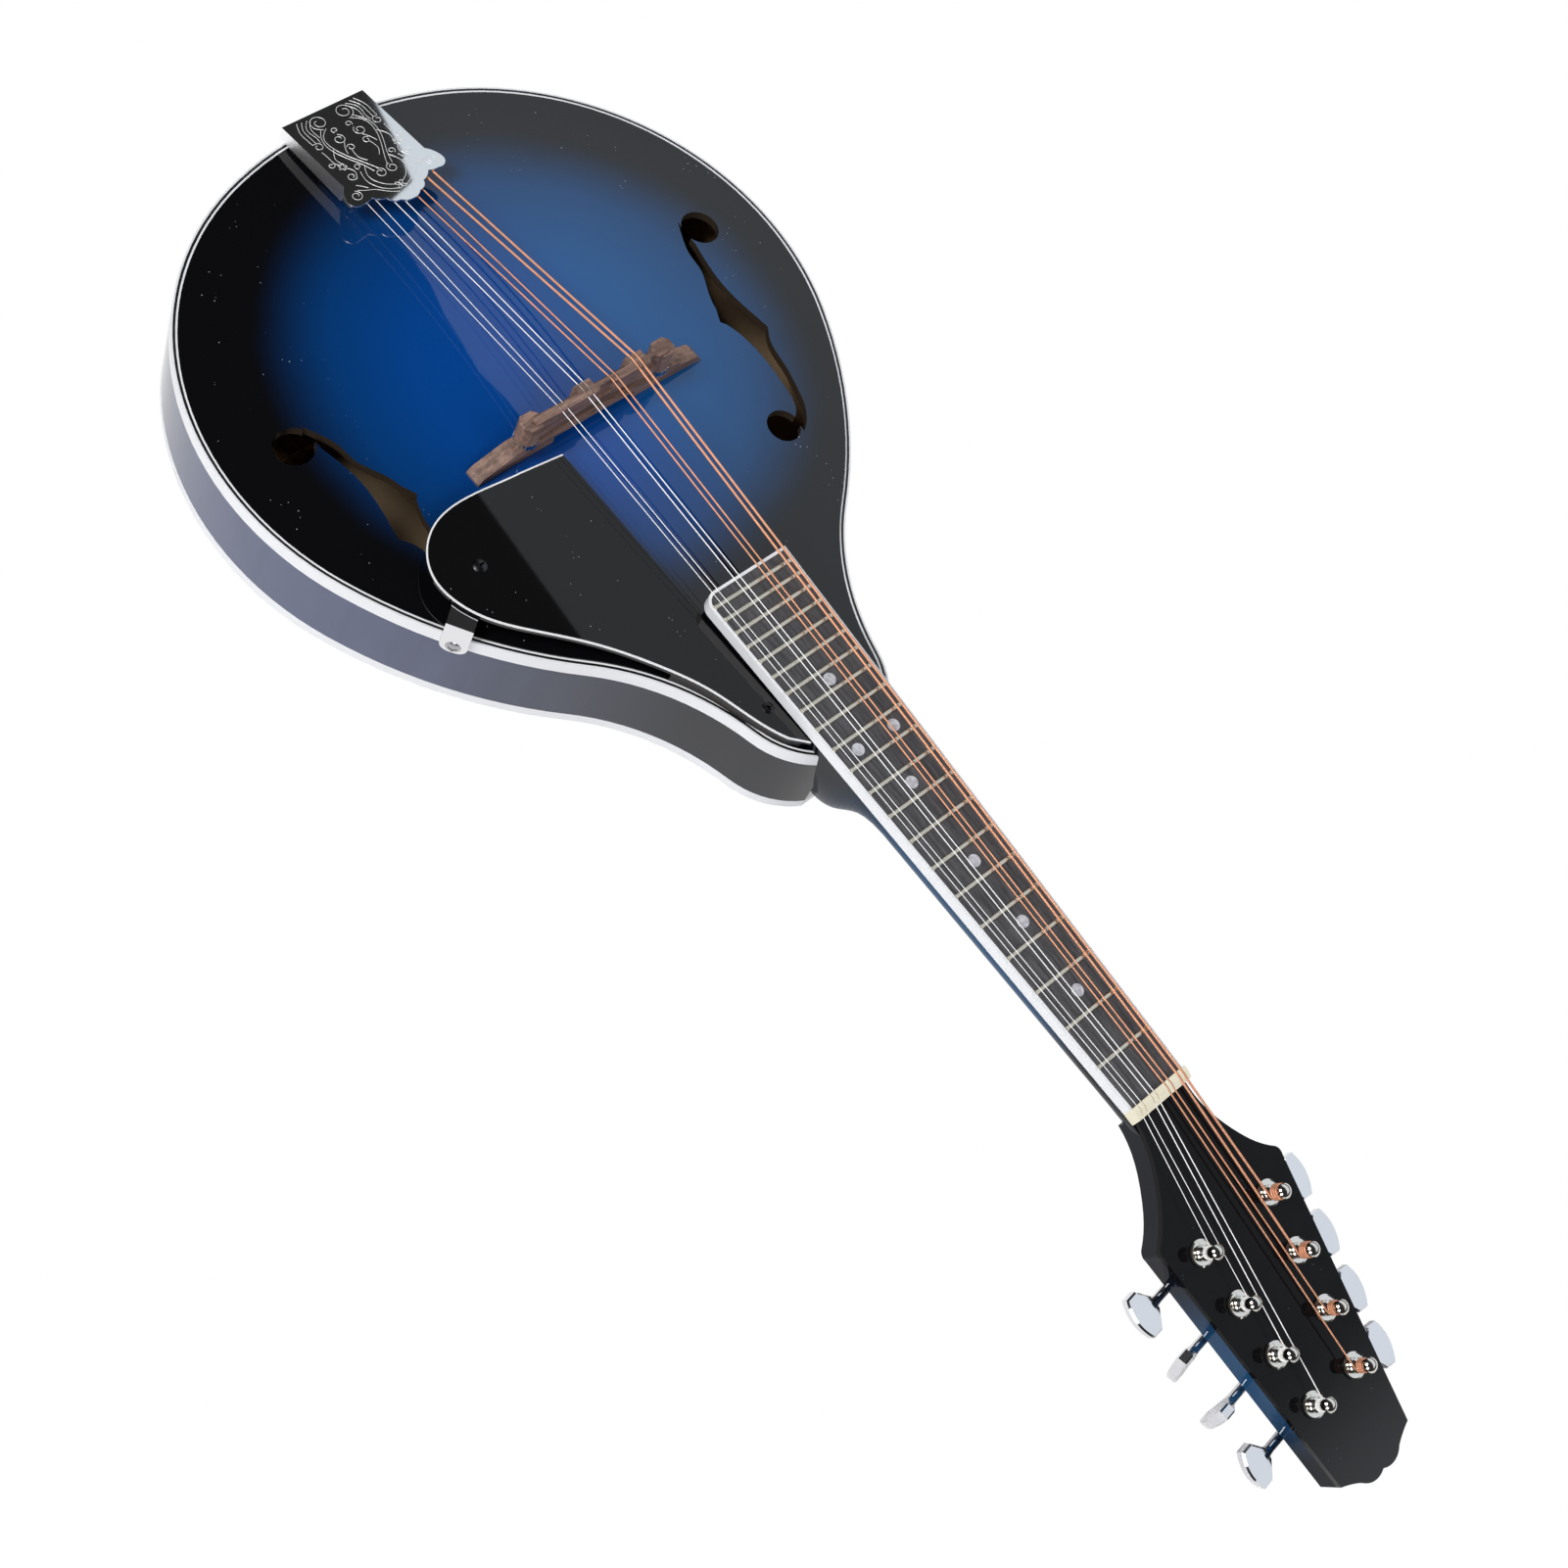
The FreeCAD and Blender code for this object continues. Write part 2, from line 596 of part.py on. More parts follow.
def tone_bars():
    """Two bars glued lengthwise under the top."""
    above = arch_sheet(-PLATE_THICKNESS, TOP_ARCH).extrude(Vector(0, 0, CUT_OVERRUN))
    x0 = TAIL_X + TAIL_BLOCK_LENGTH + TONE_BAR_TAIL_MARGIN
    x1 = SHOULDER_X - NECK_BLOCK_LENGTH - TONE_BAR_NECK_MARGIN
    bars = []
    for side in (-1, 1):
        y = side * TONE_BAR_SPREAD
        bar = box(x0, x1, y - TONE_BAR_WIDTH / 2, y + TONE_BAR_WIDTH / 2,
                  -TONE_BAR_HEIGHT + TOP_ARCH - PLATE_THICKNESS, TOP_ARCH)
        bars.append(bar.cut(above))
    return Part.Compound(bars)


def back_braces():
    """Two braces glued across the inside of the back."""
    below = arch_sheet(PLATE_THICKNESS - RIM_DEPTH, -BACK_ARCH).extrude(Vector(0, 0, -CUT_OVERRUN))
    braces = []
    for share in BRACE_PLACE_SHARES:
        x = TAIL_X + (SHOULDER_X - TAIL_X) * share
        half = half_width_at(x, -LINING_WIDTH) - BRACE_END_MARGIN
        top = PLATE_THICKNESS - RIM_DEPTH + BRACE_RISE
        brace = box(x - BRACE_WIDTH / 2, x + BRACE_WIDTH / 2, -half, half, -RIM_DEPTH - BACK_ARCH, top)
        braces.append(brace.cut(below))
    return Part.Compound(braces)


# Neck and board

def fret_x(number):
    """The place of a fret along the neck, from the joint."""
    return SCALE_LENGTH * 2 ** (-number / STEPS_PER_OCTAVE) - SCALE_LENGTH / 2


def board_half(x):
    """Half the width of the bound board at a place along the neck."""
    share = (NUT_X - x) / NUT_X
    return (BOARD_WIDTH_NUT + (BOARD_WIDTH_JOINT - BOARD_WIDTH_NUT) * share) / 2


def board_end_x():
    """The end of the board over the body."""
    return fret_x(FRET_COUNT) - BOARD_END_MARGIN


def board_blank(inset, corner):
    """The tapered board with one rounded corner, drawn in by an inset at sides and end."""
    x0, x1 = board_end_x() + inset, NUT_X
    h0, h1 = board_half(x0) - inset, board_half(x1) - inset
    blank = polygon_prism(((x0, -h0), (x0, h0), (x1, h1), (x1, -h1)), -BOARD_THICKNESS, 0)
    edge = [e for e in blank.Edges if abs(e.CenterOfMass.x - x0) < GLUE_GAP and e.CenterOfMass.y < -h0 / 2
            and abs(e.CenterOfMass.z + BOARD_THICKNESS / 2) < GLUE_GAP]
    return blank.makeFillet(corner, edge)


def dots(clearance_depth):
    """The round marks let into the board."""
    marks = []
    for number in SINGLE_DOT_FRETS + DOUBLE_DOT_FRETS:
        x = (fret_x(number) + fret_x(number - 1)) / 2
        sides = (-1, 1) if number in DOUBLE_DOT_FRETS else (0,)
        for side in sides:
            marks.append(Part.makeCylinder(DOT_DIAMETER / 2, clearance_depth,
                                           Vector(x, side * DOUBLE_DOT_SPREAD, -clearance_depth)))
    return marks


def fretboard():
    """The dark board inside its binding."""
    board = board_blank(BOARD_BINDING, BOARD_CORNER_RADIUS - BOARD_BINDING)
    return placed(board.cut(dots(DOT_THICKNESS)), NECK)


def fretboard_binding():
    """The pale binding along both sides and round the end of the board."""
    blank = board_blank(0, BOARD_CORNER_RADIUS)
    return placed(blank.cut(board_blank(BOARD_BINDING, BOARD_CORNER_RADIUS - BOARD_BINDING)), NECK)


def frets():
    """The crowned frets that sit on the board."""
    wires = []
    sagitta_radius = (FRET_WIDTH ** 2 / 4 + FRET_HEIGHT ** 2) / (2 * FRET_HEIGHT)
    for number in range(1, FRET_COUNT + 1):
        x = fret_x(number)
        half = board_half(x) - BOARD_BINDING - FRET_END_GAP
        left, right = Vector(x - FRET_WIDTH / 2, -half, 0), Vector(x + FRET_WIDTH / 2, -half, 0)
        crown = Vector(x, -half, min(FRET_HEIGHT, 2 * sagitta_radius))
        face = Part.Face(Part.Wire([Part.Arc(left, crown, right).toShape(), Part.makeLine(right, left)]))
        wires.append(face.extrude(Vector(0, 2 * half, 0)))
    return placed(Part.Compound(wires), NECK)


def position_dots():
    """The round marks themselves."""
    return placed(Part.Compound(dots(DOT_THICKNESS)), NECK)


def nut_room():
    """The place of the nut between the board and the head."""
    half = BOARD_WIDTH_NUT / 2
    return box(NUT_X, NUT_X + NUT_LENGTH, -half, half, -BOARD_THICKNESS, NUT_HEIGHT)


def nut():
    """The nut, sloped towards the head, with a slot for every string."""
    x1 = NUT_X + NUT_LENGTH
    crown = NUT_X + NUT_LENGTH * NUT_CROWN_SHARE
    profile = ((NUT_X, -BOARD_THICKNESS), (x1, -BOARD_THICKNESS), (x1, NUT_FRONT_HEIGHT),
               (crown, NUT_HEIGHT), (NUT_X, NUT_HEIGHT))
    blank = placed(side_prism(profile, -BOARD_WIDTH_NUT / 2, BOARD_WIDTH_NUT / 2), NECK)
    return blank.cut(string_slots("nut"))


def neck_section(x, depth, half, squareness, taper):
    """A cross section of the neck under the board, flat on top."""
    points = []
    steps = 10
    for i in range(steps + 1):
        angle = math.pi * i / steps
        c, s = math.cos(angle), math.sin(angle)
        power = 2 / squareness
        z = -depth * abs(s) ** power
        y = half * math.copysign(abs(c) ** power, c) * (1 + taper * z / depth)
        points.append(Vector(x, y, z))
    return Part.Wire([spline(points), Part.makeLine(points[-1], points[0])])


def heel_and_shaft():
    """The neck from inside the body to the nut, as one smooth body under the board."""
    full = BOARD_RISE + RIM_DEPTH
    sections = []
    for along_share, drop_share in zip(HEEL_LENGTH_SHARES, HEEL_DROP_SHARES):
        x = along_share * HEEL_LENGTH
        depth = NECK_DEPTH_JOINT + (full - NECK_DEPTH_JOINT) * drop_share
        sections.append(neck_section(x, depth, board_half(x), 2 + HEEL_SQUARENESS_SHARE * drop_share,
                                     HEEL_TAPER_SHARE * drop_share))
    length = NUT_X + NUT_LENGTH - HEEL_LENGTH
    end = HEEL_LENGTH + length
    sections.append(neck_section(end, NECK_DEPTH_NUT, board_half(end), 2, 0))
    loft = Part.makeLoft(sections, True, True, False)
    loft.translate(Vector(0, 0, -BOARD_THICKNESS))
    bed = below_top().common(prism(outline(0), -PLATE_THICKNESS, 2 * TOP_ARCH))
    return placed(loft, NECK).cut(prism(outline(RIB_THICKNESS), -RIM_DEPTH, 0)).cut(bed)


def neck_bend():
    """The thicker part that leads from the shaft into the head."""
    x1 = NUT_X + NUT_LENGTH
    sections = []
    for share in BEND_START_SHARES:
        section = neck_section(x1 * share, NECK_DEPTH_NUT, board_half(x1 * share), 2, 0)
        section.translate(Vector(0, 0, -BOARD_THICKNESS))
        sections.append(placed(section, NECK))
    core = HEAD_THICKNESS - OVERLAY_THICKNESS
    for share, depth_share in BEND_HEAD_SHARES:
        depth = core + (NECK_DEPTH_NUT - core) * depth_share
        half = (BEND_WIDTH * share + BOARD_WIDTH_NUT * (1 - share)) / 2
        section = neck_section(BEND_REACH * share, depth, half, 2, 0)
        section.translate(Vector(0, 0, -OVERLAY_THICKNESS))
        sections.append(placed(section, HEAD))
    loft = Part.makeLoft(sections, True, False, False)
    far = CUT_OVERRUN
    over_board = placed(box(0, x1, -far, far, -BOARD_THICKNESS, far), NECK)
    over_head = placed(box(-NUT_LENGTH, far, -far, far, -OVERLAY_THICKNESS, far), HEAD)
    return loft.cut(over_board).cut(over_head)


def head_outline():
    """The outline of the head in its own frame."""
    def at(share, side):
        return Vector(share[0] * HEAD_LENGTH, side * share[1] * HEAD_HALF_WIDTH, 0)
    edges = []
    for side in (-1, 1):
        flare = [at(share, side) for share in HEAD_FLARE_SHARES]
        corner_in, corner_out = [at(share, side) for share in HEAD_CORNER_SHARES]
        shoulder = at(HEAD_SHOULDER_SHARES, side)
        scoop_mid, scoop_end = [at(share, side) for share in HEAD_SCOOP_SHARES]
        lobe_mid, lobe_end = [at(share, side) for share in HEAD_LOBE_SHARES]
        edges += [spline(flare), Part.Arc(flare[-1], corner_in, corner_out).toShape(),
                  Part.makeLine(corner_out, shoulder), Part.Arc(shoulder, scoop_mid, scoop_end).toShape(),
                  Part.Arc(scoop_end, lobe_mid, lobe_end).toShape()]
    edges.append(Part.makeLine(at(HEAD_FLARE_SHARES[0], -1), at(HEAD_FLARE_SHARES[0], 1)))
    return edges


def post_places():
    """Post centres on the bass side of the head, in its frame, nearest to the nut first."""
    return [row_frame().multVec(Vector(POST_PITCH * k, 0, 0)) for k in range(POSTS_PER_SIDE)]


def row_frame():
    """The frame of the bass row of machines: along the row, outward and up."""
    return Placement(Vector(POST_START, POST_HALF_SPREAD, 0), Rotation(UP, -ROW_ANGLE_DEG))


def post_bores():
    """The holes through the head for the bushings and posts."""
    bores = []
    for place in post_places():
        start = place - UP * 1.5 * HEAD_THICKNESS
        bore = Part.makeCylinder(BUSHING_BARREL_RADIUS, 2 * HEAD_THICKNESS, start)
        bores += [bore, mirrored(bore)]
    return [placed(bore, HEAD) for bore in bores]


def plate_screw_places():
    """Screw places along one machine plate, in the frame of its row."""
    first = (worm_distance() + POST_PITCH) / 2 + MACHINE_EAR_WIDTH / 4
    return [Vector(first + POST_PITCH * k, 0, 0) for k in range(POSTS_PER_SIDE - 1)]


def plate_screw_bores():
    """The pilot holes of the machine plates' screws in the back of the head."""
    bores = []
    for place in plate_screw_places():
        bore = Part.makeCylinder(PLATE_SCREW_RADIUS / 2, PLATE_SCREW_LENGTH,
                                 row_frame().multVec(place) - UP * HEAD_THICKNESS)
        bores += [bore, mirrored(bore)]
    return [placed(bore, HEAD) for bore in bores]


def rod_room():
    """The slot of the stiffening rod under the board."""
    start, end = ROD_END_MARGIN - HEEL_LENGTH / 3, NUT_X - ROD_END_MARGIN
    half, top = ROD_WIDTH / 2, -BOARD_THICKNESS
    return placed(box(start, end, -half, half, top - ROD_HEIGHT, top), NECK)


def riser():
    """The wedge of neck wood that carries the board's end over the top."""
    x0, x1 = board_end_x() + 2 * RISER_INSET, HEEL_LENGTH / 3
    h0, h1 = board_half(x0) - RISER_INSET, board_half(x1) - RISER_INSET
    wedge = polygon_prism(((x0, -h0), (x0, h0), (x1, h1), (x1, -h1)), -BOARD_THICKNESS - TOP_ARCH * 2,
                          -BOARD_THICKNESS)
    under_rim = box(BODY_END_X, CUT_OVERRUN * 4, -CUT_OVERRUN, CUT_OVERRUN, -CUT_OVERRUN, 0)
    return placed(wedge, NECK).cut(below_top()).cut(under_rim)


def neck():
    """The one-piece neck: riser, tenon, heel, shaft, bend and head."""
    head_core = placed(prism(head_outline(), -HEAD_THICKNESS, -OVERLAY_THICKNESS), HEAD)
    head_core = head_core.cut(placed(nut_room(), NECK))
    whole = fused([heel_and_shaft(), neck_bend(), head_core, riser(), tenon_box()])
    return whole.cut([rod_room()] + post_bores() + plate_screw_bores())


def headstock_overlay():
    """The dark veneer on the face of the head."""
    veneer = placed(prism(head_outline(), -OVERLAY_THICKNESS, 0), HEAD)
    shaft_end = box(0, NUT_X + NUT_LENGTH, -CUT_OVERRUN, CUT_OVERRUN, -CUT_OVERRUN, -BOARD_THICKNESS)
    return veneer.cut(placed(shaft_end, NECK)).cut([placed(nut_room(), NECK)] + post_bores())


def neck_rod():
    """The stiffening rod inside the neck."""
    return rod_room()


# Strings

def unit(vector):
    """A vector of length one in the same direction."""
    return Vector(vector).normalize()


def bend_arc(before, corner, after, radius):
    """The tangent arc that rounds one corner of a route, with its two ends."""
    into, away = unit(corner - before), unit(after - corner)
    turn = into.getAngle(away)
    reach = radius * math.tan(turn / 2)
    start, end = corner - into * reach, corner + away * reach
    inward = unit(away - into)
    middle = corner + inward * (radius / math.cos(turn / 2) - radius)
    return Part.Arc(start, middle, end).toShape(), start, end


def arc_from(point, tangent, end):
    """The arc that leaves a point along a tangent and ends at another point."""
    chord = end - point
    along = unit(tangent)
    side = chord - along * chord.dot(along)
    if side.Length < chord.Length / 1e6:
        return Part.makeLine(point, end)
    half = math.atan2(side.Length, chord.dot(along)) / 2
    middle = point + chord * 0.5 - unit(side * chord.dot(along) - along * side.Length ** 2) * (
        chord.Length / 2 * math.tan(half))
    return Part.Arc(point, middle, end).toShape()


def biarc(p0, t0, p1, t1):
    """Two tangent arcs between two points with given directions."""
    v, t = p1 - p0, t0 + t1
    k = 2 * (1 - t0.dot(t1))
    d = v.dot(v) / (4 * v.dot(t1)) if k < 1e-9 else (-v.dot(t) + math.sqrt(v.dot(t) ** 2 + k * v.dot(v))) / k
    meet = (p0 + t0 * d + p1 - t1 * d) * 0.5
    return [arc_from(p0, t0, meet), arc_from(p1, t1 * -1, meet)]


def post_frame(side, number):
    """The frame of one post: its centre on the head's face and the way up."""
    place = post_places()[number]
    return HEAD * Placement(Vector(place.x, side * place.y, 0), Rotation())


def string_points(pair, side):
    """The straight corners of one string's route: hook, saddle and nut."""
    y_hook = ((pair - (len(STRING_RADII) - 1) / 2) * 2 + side / 2) * HOOK_PITCH
    y_saddle = SADDLE_PAIR_CENTRES[pair] + side * SADDLE_PAIR_GAP / 2
    y_nut = NUT_PAIR_CENTRES[pair] + side * NUT_PAIR_GAP / 2
    ridge = RIDGE_OFFSET if pair % 2 == 0 else -RIDGE_OFFSET
    hook = Vector(HOOK_X, y_hook, HOOK_HEIGHT)
    saddle = Vector(BRIDGE_X + ridge, y_saddle, STRING_HEIGHT_SADDLE)
    at_nut = NECK.multVec(Vector(NUT_X + NUT_LENGTH / 4, y_nut, STRING_FLOOR_NUT + STRING_RADII[pair]))
    return hook, saddle, at_nut


def post_of(pair, side):
    """Which post a string goes to: the row's side and the number from the nut."""
    row = -1 if pair < 2 else 1
    outer = side == row
    first = 0 if pair in (0, len(STRING_RADII) - 1) else 2
    return row, first + (0 if outer else 1)


def coil(pair, side):
    """The turns of a string round its post: where they begin, and their arcs to the end."""
    radius = STRING_RADII[pair]
    row, number = post_of(pair, side)
    frame = post_frame(row, number)
    ring_radius = POST_WAIST_RADIUS + STRING_COIL_GAP + radius
    pitch = 2 * radius + STRING_PITCH_GAP
    slope = pitch / (2 * math.pi * ring_radius)

    def spot(angle):
        y, x = -row * math.cos(angle), math.sin(angle)
        z = STRING_COIL_START + radius + pitch * angle / (2 * math.pi)
        return frame.multVec(Vector(ring_radius * x, ring_radius * y, z))

    def heading(angle):
        y, x = row * math.sin(angle), math.cos(angle)
        return unit(frame.Rotation.multVec(Vector(x, y, slope)))

    nut_point = string_points(pair, side)[2]
    start = best_start(nut_point, spot, heading)
    arcs = []
    steps = 2 * STRING_COIL_TURNS
    for i in range(steps):
        a, b = start + math.pi * i, start + math.pi * (i + 1)
        arcs += biarc(spot(a), heading(a), spot(b), heading(b))
    return spot(start), heading(start), arcs, spot(start + math.pi * steps), heading(start + math.pi * steps)


def coil_gap(pair, side):
    """The least free space between the turns of one coil, measured on points one turn apart."""
    arcs = coil(pair, side)[2]
    points = [arc.valueAt(arc.FirstParameter) for arc in arcs]
    per_turn = len(points) // STRING_COIL_TURNS
    return min((points[k + per_turn] - points[k]).Length for k in range(len(points) - per_turn)) - \
        2 * STRING_RADII[pair]


def best_start(nut_point, spot, heading):
    """The angle at which a straight run from the nut meets the coil without a kink, seen from above."""
    best, best_miss = 0, 1e9
    steps = 400
    for i in range(steps):
        angle = math.pi * (i / steps - 0.5) / 2
        run = unit(spot(angle) - nut_point)
        miss = run.getAngle(heading(angle))
        if miss < best_miss:
            best, best_miss = angle, miss
    return best


def string_edges(pair, side):
    """The whole centre line of one string, from the loop at its hook to the end of its coil."""
    hook, saddle, at_nut = string_points(pair, side)
    coil_start, coil_heading, coil_arcs, coil_end, end_heading = coil(pair, side)
    saddle_arc, s0, s1 = bend_arc(hook, saddle, at_nut, STRING_BEND_RADIUS)
    corner = coil_start - coil_heading * STRING_COIL_LEAD
    nut_arc, n0, n1 = bend_arc(saddle, at_nut, corner, STRING_BEND_RADIUS)
    lead_arc, l0, l1 = bend_arc(at_nut, corner, coil_start, STRING_BEND_RADIUS)
    edges = [loop_edge(pair, side)]
    edges += [Part.makeLine(hook, s0), saddle_arc, Part.makeLine(s1, n0), nut_arc]
    edges += [Part.makeLine(n1, l0), lead_arc]
    if (coil_start - l1).Length > GLUE_GAP / 10:
        edges.append(Part.makeLine(l1, coil_start))
    edges += coil_arcs
    edges.append(Part.makeLine(coil_end, coil_end + end_heading * STRING_TAIL_STUB))
    return edges


def loop_side(pair, side):
    """The direction from a string's end to its hook: square to the string, away from the middle."""
    hook, saddle, at_nut = string_points(pair, side)
    outward = 1 if 2 * pair >= len(STRING_RADII) else -1
    return unit(UP.cross(saddle - hook)) * outward


def loop_edge(pair, side):
    """The loop at the end of a string round its hook."""
    hook, saddle, at_nut = string_points(pair, side)
    across = loop_side(pair, side)
    centre = hook + across * HOOK_LOOP_RADIUS
    spoke = hook - centre
    axis = unit((saddle - hook).cross(across))
    end = centre + Rotation(axis, -HOOK_LOOP_TURN_DEG).multVec(spoke)
    middle = centre + Rotation(axis, -HOOK_LOOP_TURN_DEG / 2).multVec(spoke)
    return Part.Arc(end, middle, hook).toShape()


def tube(edges, radius):
    """A round string along a route, straight runs and arcs swept as one."""
    path = Part.Wire(Part.__sortEdges__(edges))
    start_edge = edges[0]
    start = start_edge.valueAt(start_edge.FirstParameter)
    tangent = start_edge.tangentAt(start_edge.FirstParameter)
    circle = Part.Wire([Part.Circle(start, tangent, radius).toShape()])
    return path.makePipeShell([circle], True, False)


def string_pair(pair):
    """The two strings of one pair."""
    return Part.Compound([tube(string_edges(pair, side), STRING_RADII[pair]) for side in (-1, 1)])


def string_slot(pair, side, where):
    """The slot that one string runs in, at the nut or at the saddle."""
    hook, saddle, at_nut = string_points(pair, side)
    radius = STRING_RADII[pair]
    if where == "nut":
        before, corner, after = saddle, at_nut, coil(pair, side)[0]
        reach = NUT_LENGTH
    else:
        before, corner, after = hook, saddle, at_nut
        reach = KNOB_THICKNESS
    half = radius + NOTCH_CLEARANCE
    drop = UP * (radius + 2 * NOTCH_CLEARANCE)
    into, away = unit(corner - before), unit(after - corner)
    a, b, c = corner - into * reach - drop, corner - drop, corner + away * reach - drop
    tools = []
    for low, high in ((a, b), (b, c)):
        sideways = unit((high - low).cross(UP)) * half
        past = unit(high - low) * half
        corners = [low - past - sideways, low - past + sideways,
                   high + past + sideways, high + past - sideways]
        base = Part.Face(Part.makePolygon(corners + corners[:1]))
        tools.append(base.extrude(UP * (NUT_HEIGHT * 3)))
    return tools[0].fuse(tools[1])


def string_slots(where):
    """The slots of all the strings, at the nut or at the saddle."""
    return [string_slot(pair, side, where) for pair in range(len(STRING_RADII)) for side in (-1, 1)]


# Bridge

def bridge_base():
    """The foot of the bridge, fitted to the arch, with a relief under its middle."""
    profile = [(-BASE_HALF_LENGTH, 0), (-BASE_HALF_LENGTH, BASE_END_RISE - BASE_END_ROUND),
               (-BASE_HALF_LENGTH + BASE_END_ROUND, BASE_END_RISE), (-BASE_FLAT_HALF, BASE_TOP)]
    profile += [(-y, z) for y, z in reversed(profile)]
    corners = [Vector(0, y, z) for y, z in profile]
    foot = Part.Face(Part.makePolygon(corners + corners[:1])).extrude(Vector(BASE_THICKNESS, 0, 0))
    foot.translate(Vector(BRIDGE_X - BASE_THICKNESS / 2, 0, 0))
    relief = box(BRIDGE_X - BASE_THICKNESS, BRIDGE_X + BASE_THICKNESS,
                 -BASE_RELIEF_HALF, BASE_RELIEF_HALF, 0, BASE_TOP - BASE_RELIEF_WEB)
    return foot.cut(below_top()).cut([relief] + post_rods(0))


def post_rods(extra):
    """The two rods of the bridge, thicker and longer by an extra where they cut the saddle."""
    return [Part.makeCylinder(BRIDGE_POST_RADIUS + extra, BRIDGE_POST_LENGTH + extra * BORE_DEPTH_SHARE,
                              Vector(BRIDGE_X, side * BRIDGE_POST_SPREAD, BASE_TOP - BRIDGE_POST_SEAT))
            for side in (-1, 1)]


def bridge_posts():
    """The two rods that carry the saddle."""
    return Part.Compound(post_rods(0))


def thumbwheel(side):
    """A notched wheel on one rod that lifts the saddle."""
    centre = Vector(BRIDGE_X, side * BRIDGE_POST_SPREAD, BASE_TOP + WHEEL_LIFT_GAP)
    wheel = Part.makeCylinder(WHEEL_RADIUS, WHEEL_THICKNESS, centre)
    tools = [Part.makeCylinder(BRIDGE_POST_RADIUS + SLIDE_FIT, WHEEL_THICKNESS, centre)]
    for k in range(WHEEL_NOTCHES):
        spoke = Rotation(UP, 360 / WHEEL_NOTCHES * k).multVec(Vector(WHEEL_RADIUS, 0, 0))
        notch = box(-WHEEL_NOTCH_RADIUS / 2, WHEEL_NOTCH_RADIUS / 2, -WHEEL_NOTCH_RADIUS / 2,
                    WHEEL_NOTCH_RADIUS / 2, 0, WHEEL_THICKNESS)
        notch.Placement = Placement(centre + spoke, Rotation(UP, 360 / WHEEL_NOTCHES * k + 45))
        tools.append(notch)
    return wheel.cut(tools)


def saddle_bottom():
    """The height of the saddle's underside over the wheels."""
    return BASE_TOP + WHEEL_LIFT_GAP + WHEEL_THICKNESS + SLIDE_FIT


def bridge_saddle():
    """The movable saddle: a wall whose ridge steps from pair to pair, and a knob over each rod."""
    bottom = saddle_bottom()
    half = SADDLE_THICKNESS / 2
    inner = SADDLE_HALF_LENGTH - KNOB_LENGTH / 2
    wall = box(BRIDGE_X + half - SADDLE_WALL, BRIDGE_X + half, -inner, inner, bottom, SADDLE_TOP)
    foot = box(BRIDGE_X - half, BRIDGE_X + half, -inner, inner, bottom, SADDLE_FOOT_TOP)
    pieces = [wall, foot] + [knob_shape(side, bottom) for side in (-1, 1)]
    recesses = []
    for pair in range(1, len(STRING_RADII), 2):
        y = SADDLE_PAIR_CENTRES[pair]
        pieces.append(box(BRIDGE_X - half, BRIDGE_X + half,
                          y - BLOCK_MARGIN, y + BLOCK_MARGIN, bottom, SADDLE_TOP))
        recesses.append(front_recess(y + BLOCK_MARGIN))
    lower = Vector(BRIDGE_X - KNOB_THICKNESS, 0, bottom)
    ends = [lower + ACROSS * (side * SADDLE_ARCH_HALF) for side in (-1, 1)]
    bow = Part.Arc(ends[0], lower + UP * SADDLE_ARCH, ends[1]).toShape()
    bow_face = Part.Face(Part.Wire([bow, Part.makeLine(ends[1], ends[0])]))
    under = bow_face.extrude(ALONG * (2 * KNOB_THICKNESS))
    return fused(pieces).cut(recesses).cut(under).cut(post_rods(SLIDE_FIT)).cut(string_slots("saddle"))


def front_recess(start):
    """The shallow pocket in the saddle's front face between a block and the next one or the knob."""
    front = BRIDGE_X + SADDLE_THICKNESS / 2
    gap = SADDLE_PAIR_CENTRES[1] - SADDLE_PAIR_CENTRES[0] - BLOCK_MARGIN
    end = min(start + gap, SADDLE_HALF_LENGTH - KNOB_LENGTH)
    deep = front - SADDLE_RECESS
    corners = ((front, start), (deep, start + SADDLE_FACET), (deep, end - SADDLE_FACET), (front, end))
    return polygon_prism(corners, SADDLE_FOOT_TOP, 2 * SADDLE_TOP)


def knob_shape(side, bottom):
    """One end knob of the saddle, a stub with cut corners and a slightly bevelled top."""
    centre = side * (SADDLE_HALF_LENGTH - KNOB_LENGTH / 2)
    a, b, c = KNOB_THICKNESS / 2, KNOB_LENGTH / 2, KNOB_CORNER

    def loop(inset, z):
        p, q = a - inset, b - inset
        corners = ((p, q - c), (p - c, q), (c - p, q), (-p, q - c),
                   (-p, c - q), (c - p, -q), (p - c, -q), (p, c - q))
        points = [Vector(BRIDGE_X + x, centre + y, z) for x, y in corners]
        return Part.makePolygon(points + points[:1])
    loops = [loop(0, bottom), loop(0, KNOB_TOP - KNOB_CROWN), loop(KNOB_CROWN, KNOB_TOP)]
    return Part.makeLoft(loops, True, True, False)


# Tailpiece

def base_line_z(x):
    """The height of the tailpiece base's underside, a straight line from the rim to its front."""
    rear = TAIL_X - RIB_THICKNESS
    front_z = TOP_ARCH * arch_share(TAILPIECE_FRONT_X, 0)
    return front_z * (x - rear) / (TAILPIECE_FRONT_X - rear)


